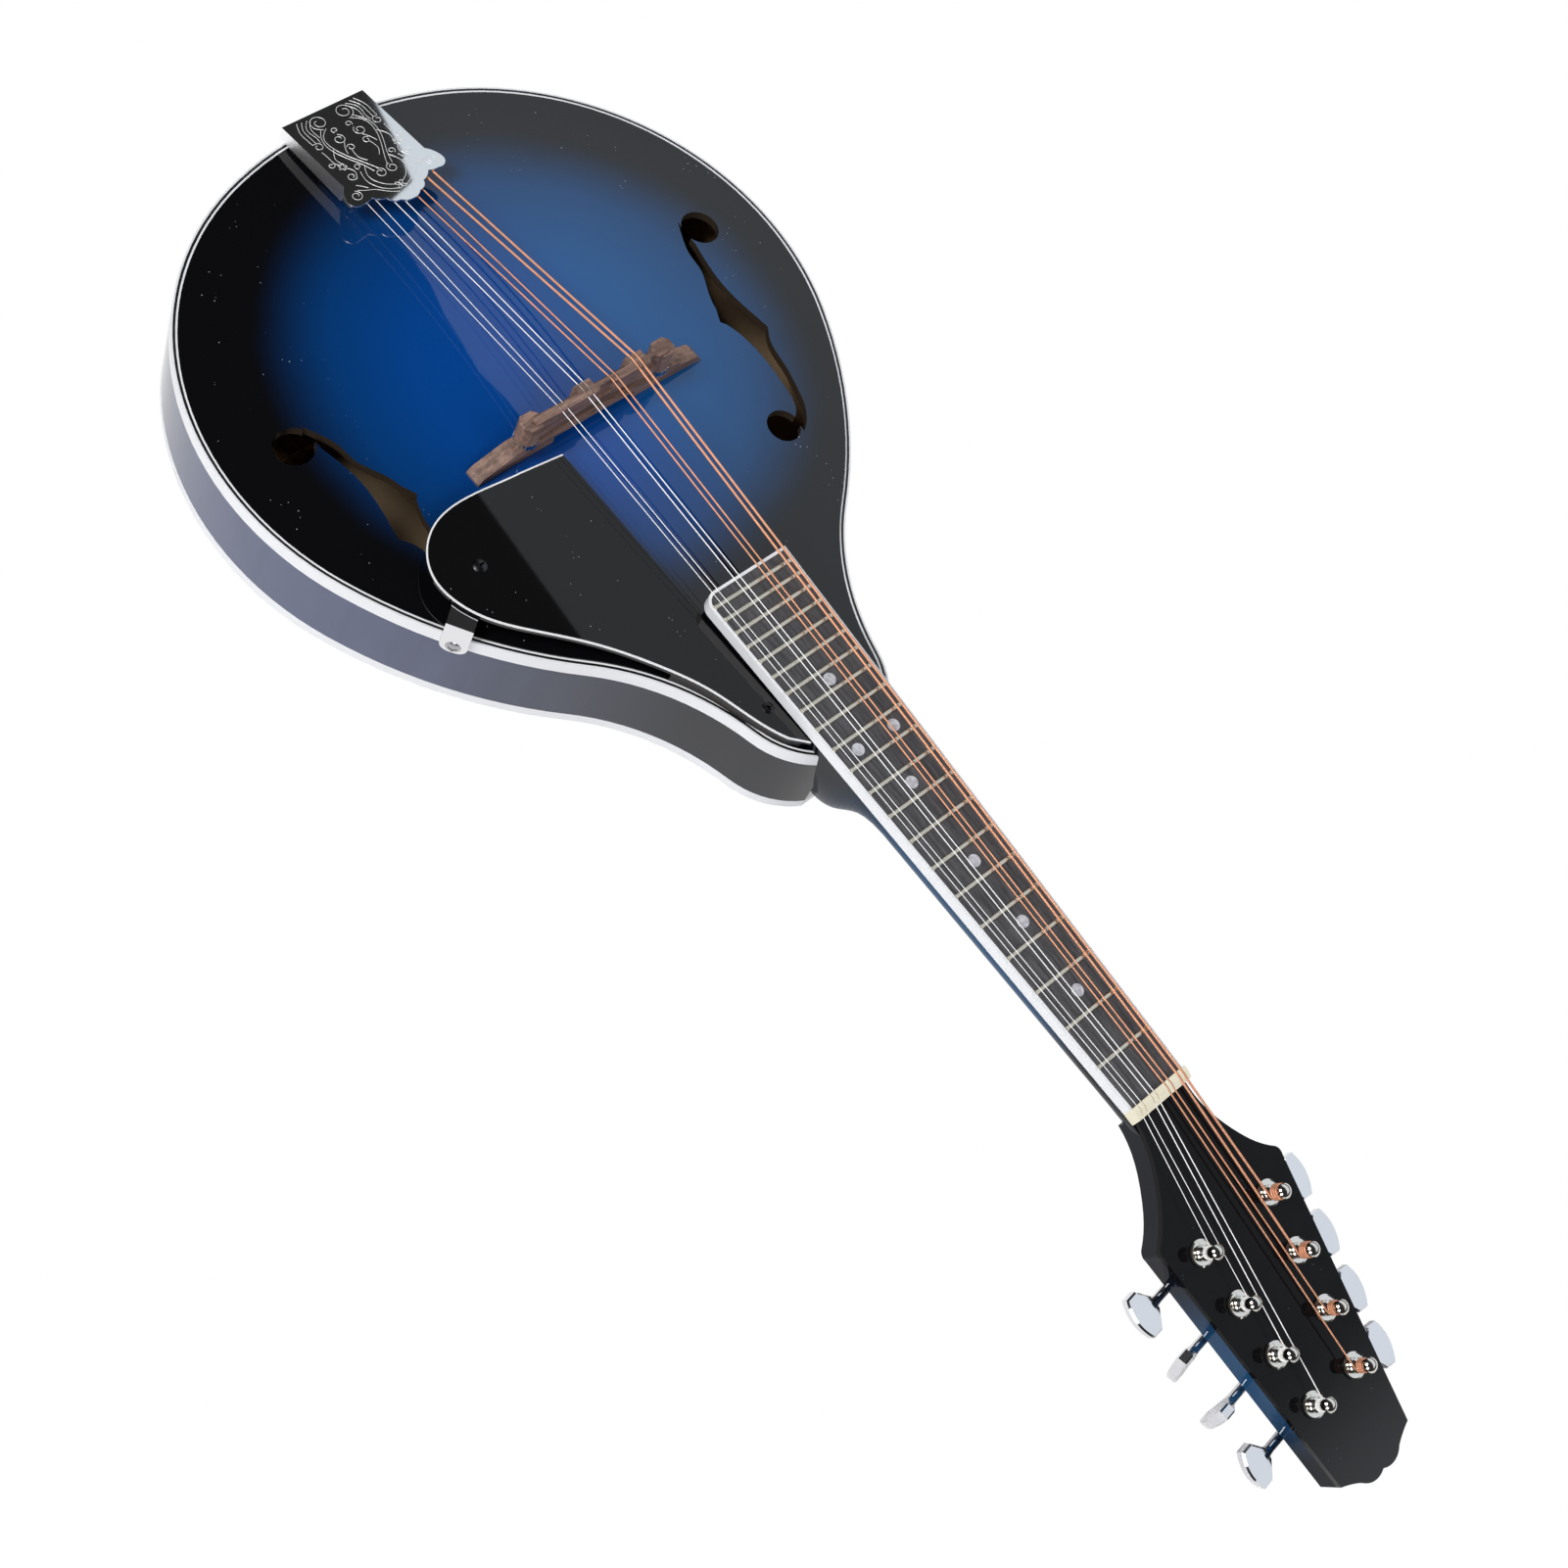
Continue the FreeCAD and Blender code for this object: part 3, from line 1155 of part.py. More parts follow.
def tailpiece_base():
    """The metal base folded over the tail, with a hook for every string."""
    rear = TAIL_X - RIB_THICKNESS
    t = TAILPIECE_THICKNESS
    profile = ((rear - t, 0), (rear, 0), (TAILPIECE_FRONT_X, base_line_z(TAILPIECE_FRONT_X)),
               (TAILPIECE_FRONT_X, base_line_z(TAILPIECE_FRONT_X) + t), (rear - t, t))
    plate = side_prism(profile, -TAILPIECE_HALF_WIDTH, TAILPIECE_HALF_WIDTH)
    apron = box(rear - t, rear, -TAILPIECE_APRON_HALF, TAILPIECE_APRON_HALF, -TAILPIECE_APRON, 0)
    hooks = []
    for pair in range(len(STRING_RADII)):
        for side in (-1, 1):
            centre = string_points(pair, side)[0] + loop_side(pair, side) * HOOK_LOOP_RADIUS
            hooks.append(box(centre.x - HOOK_THICKNESS / 2, centre.x + HOOK_THICKNESS / 2,
                             centre.y - HOOK_WIDTH / 2, centre.y + HOOK_WIDTH / 2,
                             base_line_z(HOOK_X), HOOK_HEIGHT + HOOK_OVER_STRING))
    # The apron stands clear of the curved tail except on the centre line, so it is cut to the ribs.
    apron = apron.cut(prism(outline(RIB_THICKNESS), -RIM_DEPTH, 0))
    return fused([plate, apron] + hooks).cut([end_pin_bore()] + tail_screw_bores())


def cover_top_z(x):
    """The height of the cover's outer face along the object."""
    if x < COVER_FRONT_X:
        share = (x - COVER_REAR_X) / (COVER_FRONT_X - COVER_REAR_X)
        return COVER_REAR_TOP + (COVER_FRONT_TOP - COVER_REAR_TOP) * share
    share = (x - COVER_FRONT_X) / (COVER_LIP_X - COVER_FRONT_X)
    return COVER_FRONT_TOP + (COVER_LIP_TOP - COVER_FRONT_TOP) * share


def tailpiece_cover():
    """The pressed cover over the hooks, with flanges and a shaped front lip."""
    t, w = COVER_THICKNESS, COVER_HALF_WIDTH
    outer = side_prism(((COVER_REAR_X, COVER_REAR_FOOT), (COVER_FRONT_X, COVER_FRONT_FOOT),
                        (COVER_FRONT_X, COVER_FRONT_TOP), (COVER_REAR_X, COVER_REAR_TOP)), -w, w)
    roof_drop = t * ROOF_SLOPE_SHARE
    inner = side_prism(((COVER_REAR_X + t, -CUT_OVERRUN), (COVER_FRONT_X + t, -CUT_OVERRUN),
                        (COVER_FRONT_X + t, cover_top_z(COVER_FRONT_X) - roof_drop),
                        (COVER_REAR_X + t, cover_top_z(COVER_REAR_X + t) - roof_drop)), t - w, w - t)
    shell = outer.cut(inner)
    end_x = COVER_LIP_X + COVER_LIP_LENGTH
    end_z = cover_top_z(end_x)
    sheet = side_prism(((COVER_FRONT_X, COVER_FRONT_TOP - roof_drop), (end_x, end_z - roof_drop),
                        (end_x, end_z), (COVER_FRONT_X, COVER_FRONT_TOP)), -2 * w, 2 * w)
    edges = []
    for side in (-1, 1):
        last = Vector(COVER_FRONT_X, side * w * COVER_LIP_START_SHARE, 0)
        for shares in COVER_LIP_SHARES:
            middle, end = [Vector(COVER_FRONT_X + x * COVER_LIP_LENGTH, side * y * w, 0) for x, y in shares]
            edges.append(Part.Arc(last, middle, end).toShape())
            last = end
    edges.append(Part.makeLine(Vector(COVER_FRONT_X, -w * COVER_LIP_START_SHARE, 0),
                               Vector(COVER_FRONT_X, w * COVER_LIP_START_SHARE, 0)))
    lip = sheet.common(prism(edges, 0, CUT_OVERRUN))
    return fused([shell, lip])


def domed_screw(radius, head, shank_radius, length):
    """A screw with a domed head, its head resting at height zero and its shank below."""
    dome_radius = (radius ** 2 + head ** 2) / (2 * head)
    ball = Part.makeSphere(dome_radius, Vector(0, 0, head - dome_radius))
    dome = ball.common(Part.makeCylinder(radius * 1.2, head * 1.2))
    shank = Part.makeCylinder(shank_radius, length, Vector(0, 0, -length))
    slot = box(-radius, radius, -head / 4, head / 4, head * 0.6, head * 2)
    return dome.fuse(shank).removeSplitter().cut(slot)


def tailpiece_screws():
    """The two screws that hold the base to the tail block."""
    rear = TAIL_X - RIB_THICKNESS - TAILPIECE_THICKNESS
    screws = []
    length = TAIL_SCREW_LENGTH + RIB_THICKNESS + TAILPIECE_THICKNESS
    for y, z in TAIL_SCREW_PLACES:
        screw = domed_screw(TAIL_SCREW_RADIUS, TAIL_SCREW_HEAD, TAIL_SCREW_RADIUS / 2, length)
        screws.append(placed(screw, Placement(Vector(rear, y, z), Rotation(UP, ALONG * -1))))
    return Part.Compound(screws)


def end_pin():
    """The turned pin that holds a strap at the tail."""
    face = TAIL_X - RIB_THICKNESS - TAILPIECE_THICKNESS
    r, b = END_PIN_RADIUS, END_PIN_BUTTON_RADIUS
    neck_end = END_PIN_NECK_LENGTH
    length = neck_end + END_PIN_BUTTON_LENGTH
    waist, waist_end = b * END_PIN_WAIST_SHARE, neck_end * END_PIN_WAIST_END_SHARE
    profile = [Vector(0, 0, 0), Vector(waist, 0, 0), Vector(waist, 0, waist_end), Vector(r, 0, neck_end),
               Vector(b, 0, length * 0.6), Vector(b, 0, length * 0.85), Vector(b * 0.6, 0, length),
               Vector(0, 0, length)]
    button = Part.Face(Part.makePolygon(profile + profile[:1])).revolve(Vector(0, 0, 0), UP, 360)
    peg = Part.makeCylinder(r, END_PIN_DEPTH, Vector(0, 0, -END_PIN_DEPTH))
    return placed(fused([button, peg]), Placement(Vector(face, 0, END_PIN_Z), Rotation(UP, ALONG * -1)))


# Pickguard

def guard_top_z(x):
    """The height of the pickguard's face along the object."""
    share = (x - GUARD_TAIL_X) / (GUARD_NECK_X - GUARD_TAIL_X)
    return GUARD_TAIL_TOP + (GUARD_NECK_TOP - GUARD_TAIL_TOP) * share


def board_side_y(x):
    """The treble side of the board over a place on the body."""
    along = (x - JOINT_X) / math.cos(math.radians(NECK_ANGLE_DEG))
    return -board_half(along)


def guard_plan(inset):
    """The plan of the pickguard as a tall prism, drawn in by an inset on its free sides."""
    length = GUARD_NECK_X - GUARD_TAIL_X
    points = [Vector(GUARD_TAIL_X + x * length, -y * GUARD_DEPTH, 0) for x, y in GUARD_OUTLINE_SHARES]
    drawn = []
    for k, point in enumerate(points):
        run = unit(points[min(k + 1, len(points) - 1)] - points[max(k - 1, 0)])
        drawn.append(point + UP.cross(run) * inset)
    tail_x_here = GUARD_TAIL_X + 2 * GUARD_OUTLINE_SHARES[0][0] * length + inset
    tail = Vector(tail_x_here, board_side_y(tail_x_here) - GUARD_BOARD_GAP, 0)
    tip_x = GUARD_NECK_X - inset
    tip = Vector(tip_x, board_side_y(tip_x) - GUARD_BOARD_GAP, 0)
    edges = [Part.makeLine(tail, drawn[0]), spline(drawn)]
    edges += [Part.makeLine(drawn[-1], tip), Part.makeLine(tip, tail)]
    return prism(edges, -CUT_OVERRUN, CUT_OVERRUN)


def guard_sheet(z_drop):
    """A sloping slab under the pickguard's face."""
    x0, x1 = GUARD_TAIL_X - GUARD_EDGING, GUARD_NECK_X + GUARD_EDGING
    return side_prism(((x0, guard_top_z(x0)), (x1, guard_top_z(x1)), (x1, guard_top_z(x1) - z_drop),
                       (x0, guard_top_z(x0) - z_drop)), -2 * GUARD_DEPTH, 0)


def guard_slope():
    """The turn that lays a piece on the pickguard's sloping face."""
    drop = GUARD_TAIL_TOP - GUARD_NECK_TOP
    return Rotation(ACROSS, math.degrees(math.atan2(drop, GUARD_NECK_X - GUARD_TAIL_X)))


def guard_screw_frames():
    """The places of the pickguard's two screws, heads up on its face."""
    length = GUARD_NECK_X - GUARD_TAIL_X
    places = [(GUARD_TAIL_X + x * length, -y * GUARD_DEPTH) for x, y in GUARD_SCREW_SHARES]
    return [Placement(Vector(x, y, guard_top_z(x)), guard_slope()) for x, y in places]


def guard_screw_bores():
    """The holes of the pickguard's two screws."""
    bore = Part.makeCylinder(GUARD_SCREW_SHANK, 2 * CUT_OVERRUN, Vector(0, 0, -CUT_OVERRUN))
    return [placed(bore, frame) for frame in guard_screw_frames()]


def edge_line():
    """The groove in the pickguard's upper edge that holds the pale line."""
    return guard_sheet(GUARD_EDGING_DEPTH).common(guard_plan(0)).cut(guard_plan(GUARD_EDGING))


def pickguard():
    """The raised dark plate beside the strings."""
    plate = guard_sheet(GUARD_THICKNESS).common(guard_plan(0))
    return plate.cut(edge_line()).cut(guard_screw_bores())


def pickguard_edging():
    """The pale line let into the free edge of the pickguard."""
    return edge_line()


def guard_screws():
    """The two screws of the pickguard, one into its bracket and one into its spacer."""
    lengths = (GUARD_THICKNESS + BRACKET_THICKNESS, 2 * GUARD_THICKNESS)
    return [placed(domed_screw(GUARD_SCREW_RADIUS, GUARD_SCREW_HEAD, GUARD_SCREW_SHANK, length), frame)
            for frame, length in zip(guard_screw_frames(), lengths)]


def pickguard_screws():
    """Both screws of the pickguard as one node."""
    return Part.Compound(guard_screws())


def pickguard_spacer():
    """The wooden strip under the pickguard's tip, along its free edge."""
    x1 = GUARD_NECK_X - SPACER_TIP_MARGIN
    x0 = x1 - SPACER_LENGTH
    low = side_prism(((x0, -TOP_ARCH), (x1, -TOP_ARCH), (x1, guard_top_z(x1) - GUARD_THICKNESS),
                      (x0, guard_top_z(x0) - GUARD_THICKNESS)), -2 * GUARD_DEPTH, 0)
    strip = low.common(guard_plan(SPACER_EDGE_MARGIN)).cut(guard_plan(SPACER_EDGE_MARGIN + SPACER_WIDTH))
    return strip.cut(below_top()).cut(guard_screw_bores()[1])


def bracket_frame():
    """The frame of the bracket: on the rim beside the pickguard's screw, its length axis outward."""
    base = guard_screw_frames()[0].Base
    x, y = base.x, base.y
    screw = Part.Vertex(Vector(x, -y, 0))
    found = min((arc.distToShape(screw) for arc in outline_arcs(RIB_THICKNESS)[0]), key=lambda hit: hit[0])
    rim = found[1][0][0]
    outward = Vector(rim.x - x, -rim.y - y, 0)
    return Placement(Vector(rim.x, -rim.y, 0), Rotation(ALONG, outward)), found[0]


def pickguard_bracket():
    """The metal strap from the pickguard's screw over the rim."""
    t, half = BRACKET_THICKNESS, BRACKET_WIDTH / 2
    frame, reach = bracket_frame()
    strap = placed(box(-reach - half, BRACKET_SIDE_GAP + t, -half, half, 0, 2 * GUARD_TAIL_TOP), frame)
    sheet = guard_sheet(GUARD_THICKNESS + t).cut(guard_sheet(GUARD_THICKNESS))
    arm = strap.common(sheet)
    rim = frame.multVec(Vector(0, 0, 0))
    top = guard_top_z(rim.x) - GUARD_THICKNESS - t / 2
    drop = box(BRACKET_SIDE_GAP, BRACKET_SIDE_GAP + t, -half, half, -BRACKET_DROP, top)
    corners = [e for e in drop.Edges if abs(e.CenterOfMass.z + BRACKET_DROP) < GLUE_GAP
               and abs(e.CenterOfMass.y) > half - GLUE_GAP]
    whole = fused([arm, placed(drop.makeFillet(BRACKET_ROUND, corners), frame)])
    return whole.cut(guard_screw_bores()[0]).cut(bracket_screw_bore())


def bracket_screw_frame():
    """The place of the bracket's side screw, head outward."""
    seat = Vector(BRACKET_SIDE_GAP + BRACKET_THICKNESS, 0, -BRACKET_SCREW_DROP)
    return bracket_frame()[0] * Placement(seat, Rotation(UP, ALONG))


def bracket_screw_bore():
    """The hole of the side screw through the strap."""
    deep = BRACKET_SCREW_LENGTH
    hole = Part.makeCylinder(BRACKET_SCREW_RADIUS / 2, deep, Vector(0, 0, -deep))
    return placed(hole, bracket_screw_frame())


def bracket_screw():
    """The small screw in the strap's folded end."""
    length = BRACKET_THICKNESS + BRACKET_SIDE_GAP
    shank = BRACKET_SCREW_RADIUS / 2
    return placed(domed_screw(BRACKET_SCREW_RADIUS, shank, shank, length),
                  bracket_screw_frame())


# Tuning machines

def worm_z():
    """The height of the key shafts under the head's face."""
    return -HEAD_THICKNESS - WORM_DROP


def worm_distance():
    """The distance between a post and its key shaft."""
    return GEAR_MODULE * GEAR_TEETH / 2 + WORM_PITCH_RADIUS


def thread_pitch():
    """The pitch of the worm, equal to the gear's tooth pitch."""
    return math.pi * GEAR_MODULE


def gear():
    """The wheel of a tuning machine, its gaps cut along the worm's lead."""
    pitch_radius = GEAR_MODULE * GEAR_TEETH / 2
    tip = pitch_radius + GEAR_MODULE
    root = pitch_radius - GEAR_MODULE - WORM_TIP_CLEARANCE
    blank = Part.makeCylinder(tip, GEAR_FACE, Vector(0, 0, -GEAR_FACE / 2))
    lead_deg = math.degrees(math.atan2(thread_pitch(), 2 * math.pi * WORM_PITCH_RADIUS))
    half_mid = thread_pitch() / 4
    flank = math.tan(math.radians(PRESSURE_ANGLE_DEG))
    outside = tip + GEAR_MODULE
    wide = half_mid + GEAR_GAP_OVERCUT + (outside - pitch_radius) * flank
    narrow = half_mid + GEAR_GAP_OVERCUT / 2 - (pitch_radius - root) * flank
    gap = [Vector(root, -narrow, 0), Vector(outside, -wide, 0),
           Vector(outside, wide, 0), Vector(root, narrow, 0)]
    profile = Part.Face(Part.makePolygon(gap + gap[:1]))
    profile.translate(Vector(0, 0, -GEAR_FACE))
    tool = profile.extrude(Vector(0, 0, 2 * GEAR_FACE))
    tilted = placed(tool, Placement(Vector(0, 0, 0), Rotation(ALONG, lead_deg)))
    tools = [placed(tilted, Placement(Vector(0, 0, 0), Rotation(UP, 360 / GEAR_TEETH * k)))
             for k in range(GEAR_TEETH)]
    return blank.cut(tools)


def post_shape(turn_deg):
    """One post with its gear: journal, foot ring, waist for the string and a domed cap."""
    r, w = POST_RADIUS, POST_WAIST_RADIUS
    tip, cap = POST_TIP, POST_TIP - POST_CAP_LENGTH
    low = worm_z() - GEAR_FACE / 2
    foot = BUSHING_FLANGE_HEIGHT + POST_FOOT - POST_TAPER
    ring = foot - 2 * POST_GROOVE
    groove = r - POST_GROOVE
    profile = ((0, low), (r, low), (r, ring - POST_GROOVE), (groove, ring), (r, ring + POST_GROOVE),
               (r, foot), (w, foot + POST_TAPER), (w, cap - POST_TAPER), (r, cap), (r, tip - POST_CAP_DOME))
    points = [Vector(x, 0, z) for x, z in profile]
    crown = Vector(0, 0, tip)
    dome = (r ** 2 + POST_CAP_DOME ** 2) / (2 * POST_CAP_DOME)
    half_angle = math.asin(r / dome) / 2
    shoulder = crown + Vector(math.sin(half_angle), 0, math.cos(half_angle) - 1) * dome
    edges = Part.makePolygon(points).Edges
    edges += [Part.Arc(points[-1], shoulder, crown).toShape(), Part.makeLine(crown, points[0])]
    spindle = Part.Face(Part.Wire(edges)).revolve(Vector(0, 0, 0), UP, 360)
    wheel = gear()
    wheel.translate(Vector(0, 0, worm_z()))
    screw = Part.makeCylinder(GEAR_SCREW_RADIUS, GEAR_SCREW_HEIGHT, Vector(0, 0, low - GEAR_SCREW_HEIGHT))
    whole = fused([spindle, wheel, screw])
    hole_z = cap - POST_TAPER - POST_HOLE_RADIUS - POST_HOLE_DROP
    hole = Part.makeCylinder(POST_HOLE_RADIUS, 4 * r, Vector(-2 * r, 0, hole_z), ALONG)
    return placed(whole.cut(hole), Placement(Vector(0, 0, 0), Rotation(UP, turn_deg)))


def worm():
    """The worm on a key shaft, its axis along the height, centred on zero."""
    pitch = thread_pitch()
    tip = WORM_PITCH_RADIUS + GEAR_MODULE
    core = WORM_PITCH_RADIUS - GEAR_MODULE - WORM_TIP_CLEARANCE
    length = WORM_TURNS * pitch
    spread = GEAR_MODULE * math.tan(math.radians(PRESSURE_ANGLE_DEG))
    half = pitch / 4 - WORM_BACKLASH / 2
    root_half = half + spread
    tip_half = half - spread
    inside = core - GEAR_MODULE / 4
    helix = Part.makeHelix(pitch, length, WORM_PITCH_RADIUS)
    corners = [Vector(inside, 0, -root_half), Vector(tip, 0, -tip_half), Vector(tip, 0, tip_half),
               Vector(inside, 0, root_half)]
    profile = Part.makePolygon(corners + corners[:1])
    thread = Part.Wire(helix).makePipeShell([profile], True, True)
    thread.translate(Vector(0, 0, -length / 2))
    body = Part.makeCylinder(core, length + pitch, Vector(0, 0, -(length + pitch) / 2))
    trim = Part.makeCylinder(2 * tip, length, Vector(0, 0, -length / 2))
    return body.fuse(thread.common(trim))


def button():
    """The bevelled button of a key: straight sides that widen from the shaft and a round outer edge."""
    half_w, half_t = BUTTON_WIDTH / 2, BUTTON_THICKNESS / 2
    right = [(half_w, BUTTON_OUTER_CORNER), (half_w, BUTTON_INNER_CORNER),
             (BUTTON_NECK_RADIUS, BUTTON_INNER_REACH)]
    plan = [(-x, z) for x, z in reversed(right)] + right
    corners = [Vector(x, -half_t, z) for x, z in plan]
    edges = [Part.makeLine(corners[k], corners[k + 1]) for k in (0, 1, 3, 4)]
    edges.append(Part.Arc(corners[2], Vector(0, -half_t, BUTTON_OUTER_REACH), corners[3]).toShape())
    edges.append(Part.makeLine(corners[5], corners[0]))
    slab = Part.Face(Part.Wire(Part.__sortEdges__(edges))).extrude(ACROSS * BUTTON_THICKNESS)
    rims = [e for e in slab.Edges if abs(abs(e.CenterOfMass.y) - half_t) < BUTTON_BEVEL / 2]
    return slab.makeChamfer(BUTTON_BEVEL, rims)


def key_shape(turn_deg):
    """One key: worm, shaft, collar and button, its axis along the height with the button on top."""
    worm_half = (WORM_TURNS + 1) * thread_pitch() / 2
    ear_outside = worm_half + MACHINE_EAR_GAP + MACHINE_EAR_THICKNESS
    shaft_start = worm_half + MACHINE_EAR_GAP / 3
    pin = Part.makeCylinder(KEY_PIN_RADIUS, ear_outside + shaft_start, Vector(0, 0, -ear_outside))
    shaft = Part.makeCylinder(KEY_SHAFT_RADIUS, BUTTON_CENTRE - shaft_start, Vector(0, 0, shaft_start))
    collar_start = Vector(0, 0, ear_outside + MACHINE_EAR_GAP)
    collar = Part.makeCylinder(KEY_COLLAR_RADIUS, KEY_COLLAR_LENGTH, collar_start)
    grip = button()
    grip.translate(Vector(0, 0, BUTTON_CENTRE))
    sleeve_start = Vector(0, 0, BUTTON_CENTRE + BUTTON_INNER_REACH - BUTTON_NECK_LENGTH / 2)
    sleeve = Part.makeCone(KEY_SHAFT_RADIUS, BUTTON_NECK_RADIUS, BUTTON_NECK_LENGTH, sleeve_start)
    whole = worm().fuse([pin, shaft, collar, grip, sleeve])
    return placed(whole, Placement(Vector(0, 0, 0), Rotation(UP, turn_deg)))


def key_frame(number):
    """The frame of one key on the bass side of the head: its height axis points outward."""
    place = Vector(POST_PITCH * number + worm_distance(), 0, worm_z())
    return row_frame() * Placement(place, Rotation(UP, ACROSS))


def machine(number, turn_deg):
    """A post and a key of the bass row, in the head's frame, turned together."""
    post = post_shape(gear_phase_deg() - turn_deg / GEAR_TEETH)
    post_place = row_frame() * Placement(Vector(POST_PITCH * number, 0, 0), Rotation())
    return placed(post, post_place), placed(key_shape(turn_deg), key_frame(number))


def gear_phase_deg():
    """The turn of the gear at which a gap faces the worm's thread."""
    return 360 / GEAR_TEETH * WORM_REST_SHARE


def machine_plate():
    """The bass machine plate: a strip with two bearing ears for every key."""
    t = MACHINE_PLATE_THICKNESS
    top = -HEAD_THICKNESS
    length = POST_PITCH * (POSTS_PER_SIDE - 1) + worm_distance() + 2 * MACHINE_PLATE_MARGIN
    strip = box(-MACHINE_PLATE_MARGIN, length - MACHINE_PLATE_MARGIN, -MACHINE_PLATE_WIDTH / 2,
                MACHINE_PLATE_WIDTH / 2, top - t, top)
    worm_half = (WORM_TURNS + 1) * thread_pitch() / 2
    ears, bores = [], []
    low = worm_z() - KEY_SHAFT_RADIUS - MACHINE_EAR_THICKNESS
    for k in range(POSTS_PER_SIDE):
        x = POST_PITCH * k + worm_distance()
        for side in (-1, 1):
            y0 = side * (worm_half + MACHINE_EAR_GAP)
            y1 = side * (worm_half + MACHINE_EAR_GAP + MACHINE_EAR_THICKNESS)
            ears.append(box(x - MACHINE_EAR_WIDTH / 2, x + MACHINE_EAR_WIDTH / 2,
                            min(y0, y1), max(y0, y1), low, top - t / 2))
        bores.append(Part.makeCylinder(KEY_SHAFT_RADIUS + POST_FIT, worm_half + 2 * MACHINE_EAR_THICKNESS,
                                       Vector(x, 0, worm_z()), ACROSS))
        bores.append(Part.makeCylinder(KEY_PIN_RADIUS + POST_FIT, worm_half + 2 * MACHINE_EAR_THICKNESS,
                                       Vector(x, 0, worm_z()), ACROSS * -1))
        start = Vector(POST_PITCH * k, 0, top - 1.5 * t)
        bores.append(Part.makeCylinder(POST_RADIUS + POST_FIT, 2 * t, start))
    bores += [Part.makeCylinder(PLATE_SCREW_RADIUS / 2, 2 * t, place + UP * (top - 1.5 * t))
              for place in plate_screw_places()]
    return placed(fused([strip] + ears).cut(bores), row_frame())


def plate_screws():
    """The screws of the bass machine plate."""
    screws = []
    for place in plate_screw_places():
        screw = domed_screw(PLATE_SCREW_RADIUS, PLATE_SCREW_HEAD, PLATE_SCREW_RADIUS / 2,
                            PLATE_SCREW_LENGTH + MACHINE_PLATE_THICKNESS)
        seat = place - UP * (HEAD_THICKNESS + MACHINE_PLATE_THICKNESS)
        screws.append(placed(screw, row_frame() * Placement(seat, Rotation(ALONG, 180))))
    return screws


def bushings():
    """The flanged bushings round the posts on the head's face."""
    pieces = []
    for place in post_places():
        rim = Part.makeCylinder(BUSHING_FLANGE_RADIUS, BUSHING_FLANGE_HEIGHT - BUSHING_CHAMFER, place)
        slope_start = place + UP * (BUSHING_FLANGE_HEIGHT - BUSHING_CHAMFER)
        slope = Part.makeCone(BUSHING_FLANGE_RADIUS, BUSHING_FLANGE_RADIUS - 2 * BUSHING_CHAMFER,
                              BUSHING_CHAMFER, slope_start)
        barrel = Part.makeCylinder(BUSHING_BARREL_RADIUS, BUSHING_LENGTH, place - UP * BUSHING_LENGTH)
        start = place - UP * 1.5 * BUSHING_LENGTH
        bore = Part.makeCylinder(POST_RADIUS + POST_FIT, 2 * BUSHING_LENGTH, start)
        piece = fused([rim, slope, barrel]).cut(bore)
        pieces += [piece, mirrored(piece)]
    return pieces


def machine_nodes():
    """Every named node of the two rows of machines."""
    nodes = {}
    for name, turns, flip in (("bass", BASS_KEY_TURNS_DEG, False), ("treble", TREBLE_KEY_TURNS_DEG, True)):
        for number in range(POSTS_PER_SIDE):
            post, key = machine(number, turns[number])
            if flip:
                post, key = mirrored(post), mirrored(key)
            nodes["post_%s_%d" % (name, number + 1)] = placed(post, HEAD)
            nodes["key_%s_%d" % (name, number + 1)] = placed(key, HEAD)
        plate = machine_plate()
        nodes["tuner_plate_" + name] = placed(mirrored(plate) if flip else plate, HEAD)
    screws = plate_screws()
    screws += [mirrored(screw) for screw in screws]
    nodes["tuner_plate_screws"] = placed(Part.Compound(screws), HEAD)
    nodes["tuner_bushings"] = placed(Part.Compound(bushings()), HEAD)
    return nodes


# The whole object

def all_nodes():
    """Every node in the frame of the body."""
    nodes = {}
    for maker in (top_plate, back_plate, side_ribs, top_binding, back_binding, top_lining, back_lining,
                  tail_block, neck_block, tone_bars, back_braces, neck, headstock_overlay, neck_rod,
                  fretboard, fretboard_binding, frets, position_dots, nut, bridge_base, bridge_posts,
                  bridge_saddle, tailpiece_base, tailpiece_cover, tailpiece_screws, end_pin, pickguard,
                  pickguard_edging, pickguard_bracket, pickguard_screws, pickguard_spacer, bracket_screw):
        nodes[maker.__name__] = maker()
    for name, side in (("bass", 1), ("treble", -1)):
        nodes["thumbwheel_" + name] = thumbwheel(side)
    for pair, name in enumerate(("strings_e", "strings_a", "strings_d", "strings_g")):
        nodes[name] = string_pair(pair)
    nodes.update(machine_nodes())
    return nodes


def resting_frame(nodes):
    """The turn onto the back and the shift that puts the origin under the middle."""
    tip = HEAD.multVec(Vector(HEAD_LENGTH, 0, -HEAD_THICKNESS))
    slopes = []
    for k in range(ARCH_STEPS_LONG * ARCH_STEPS_SIDE):
        x = ARCH_CENTRE_X - ARCH_CENTRE_FROM_TAIL * k / (ARCH_STEPS_LONG * ARCH_STEPS_SIDE)
        z = -RIM_DEPTH - BACK_ARCH * arch_share(x, 0)
        slopes.append((tip.z - z) / (tip.x - x))
    tilt = Rotation(ACROSS, math.degrees(math.atan(max(slopes))))
    turned = Placement(Vector(0, 0, 0), tilt)
    outside = [placed(nodes[name], turned) for name in ("end_pin", "headstock_overlay", "side_ribs")]
    bounds = Part.Compound(outside).BoundBox
    low = tilt.multVec(tip).z
    return Placement(Vector(-(bounds.XMin + bounds.XMax) / 2, -(bounds.YMin + bounds.YMax) / 2, -low), tilt)


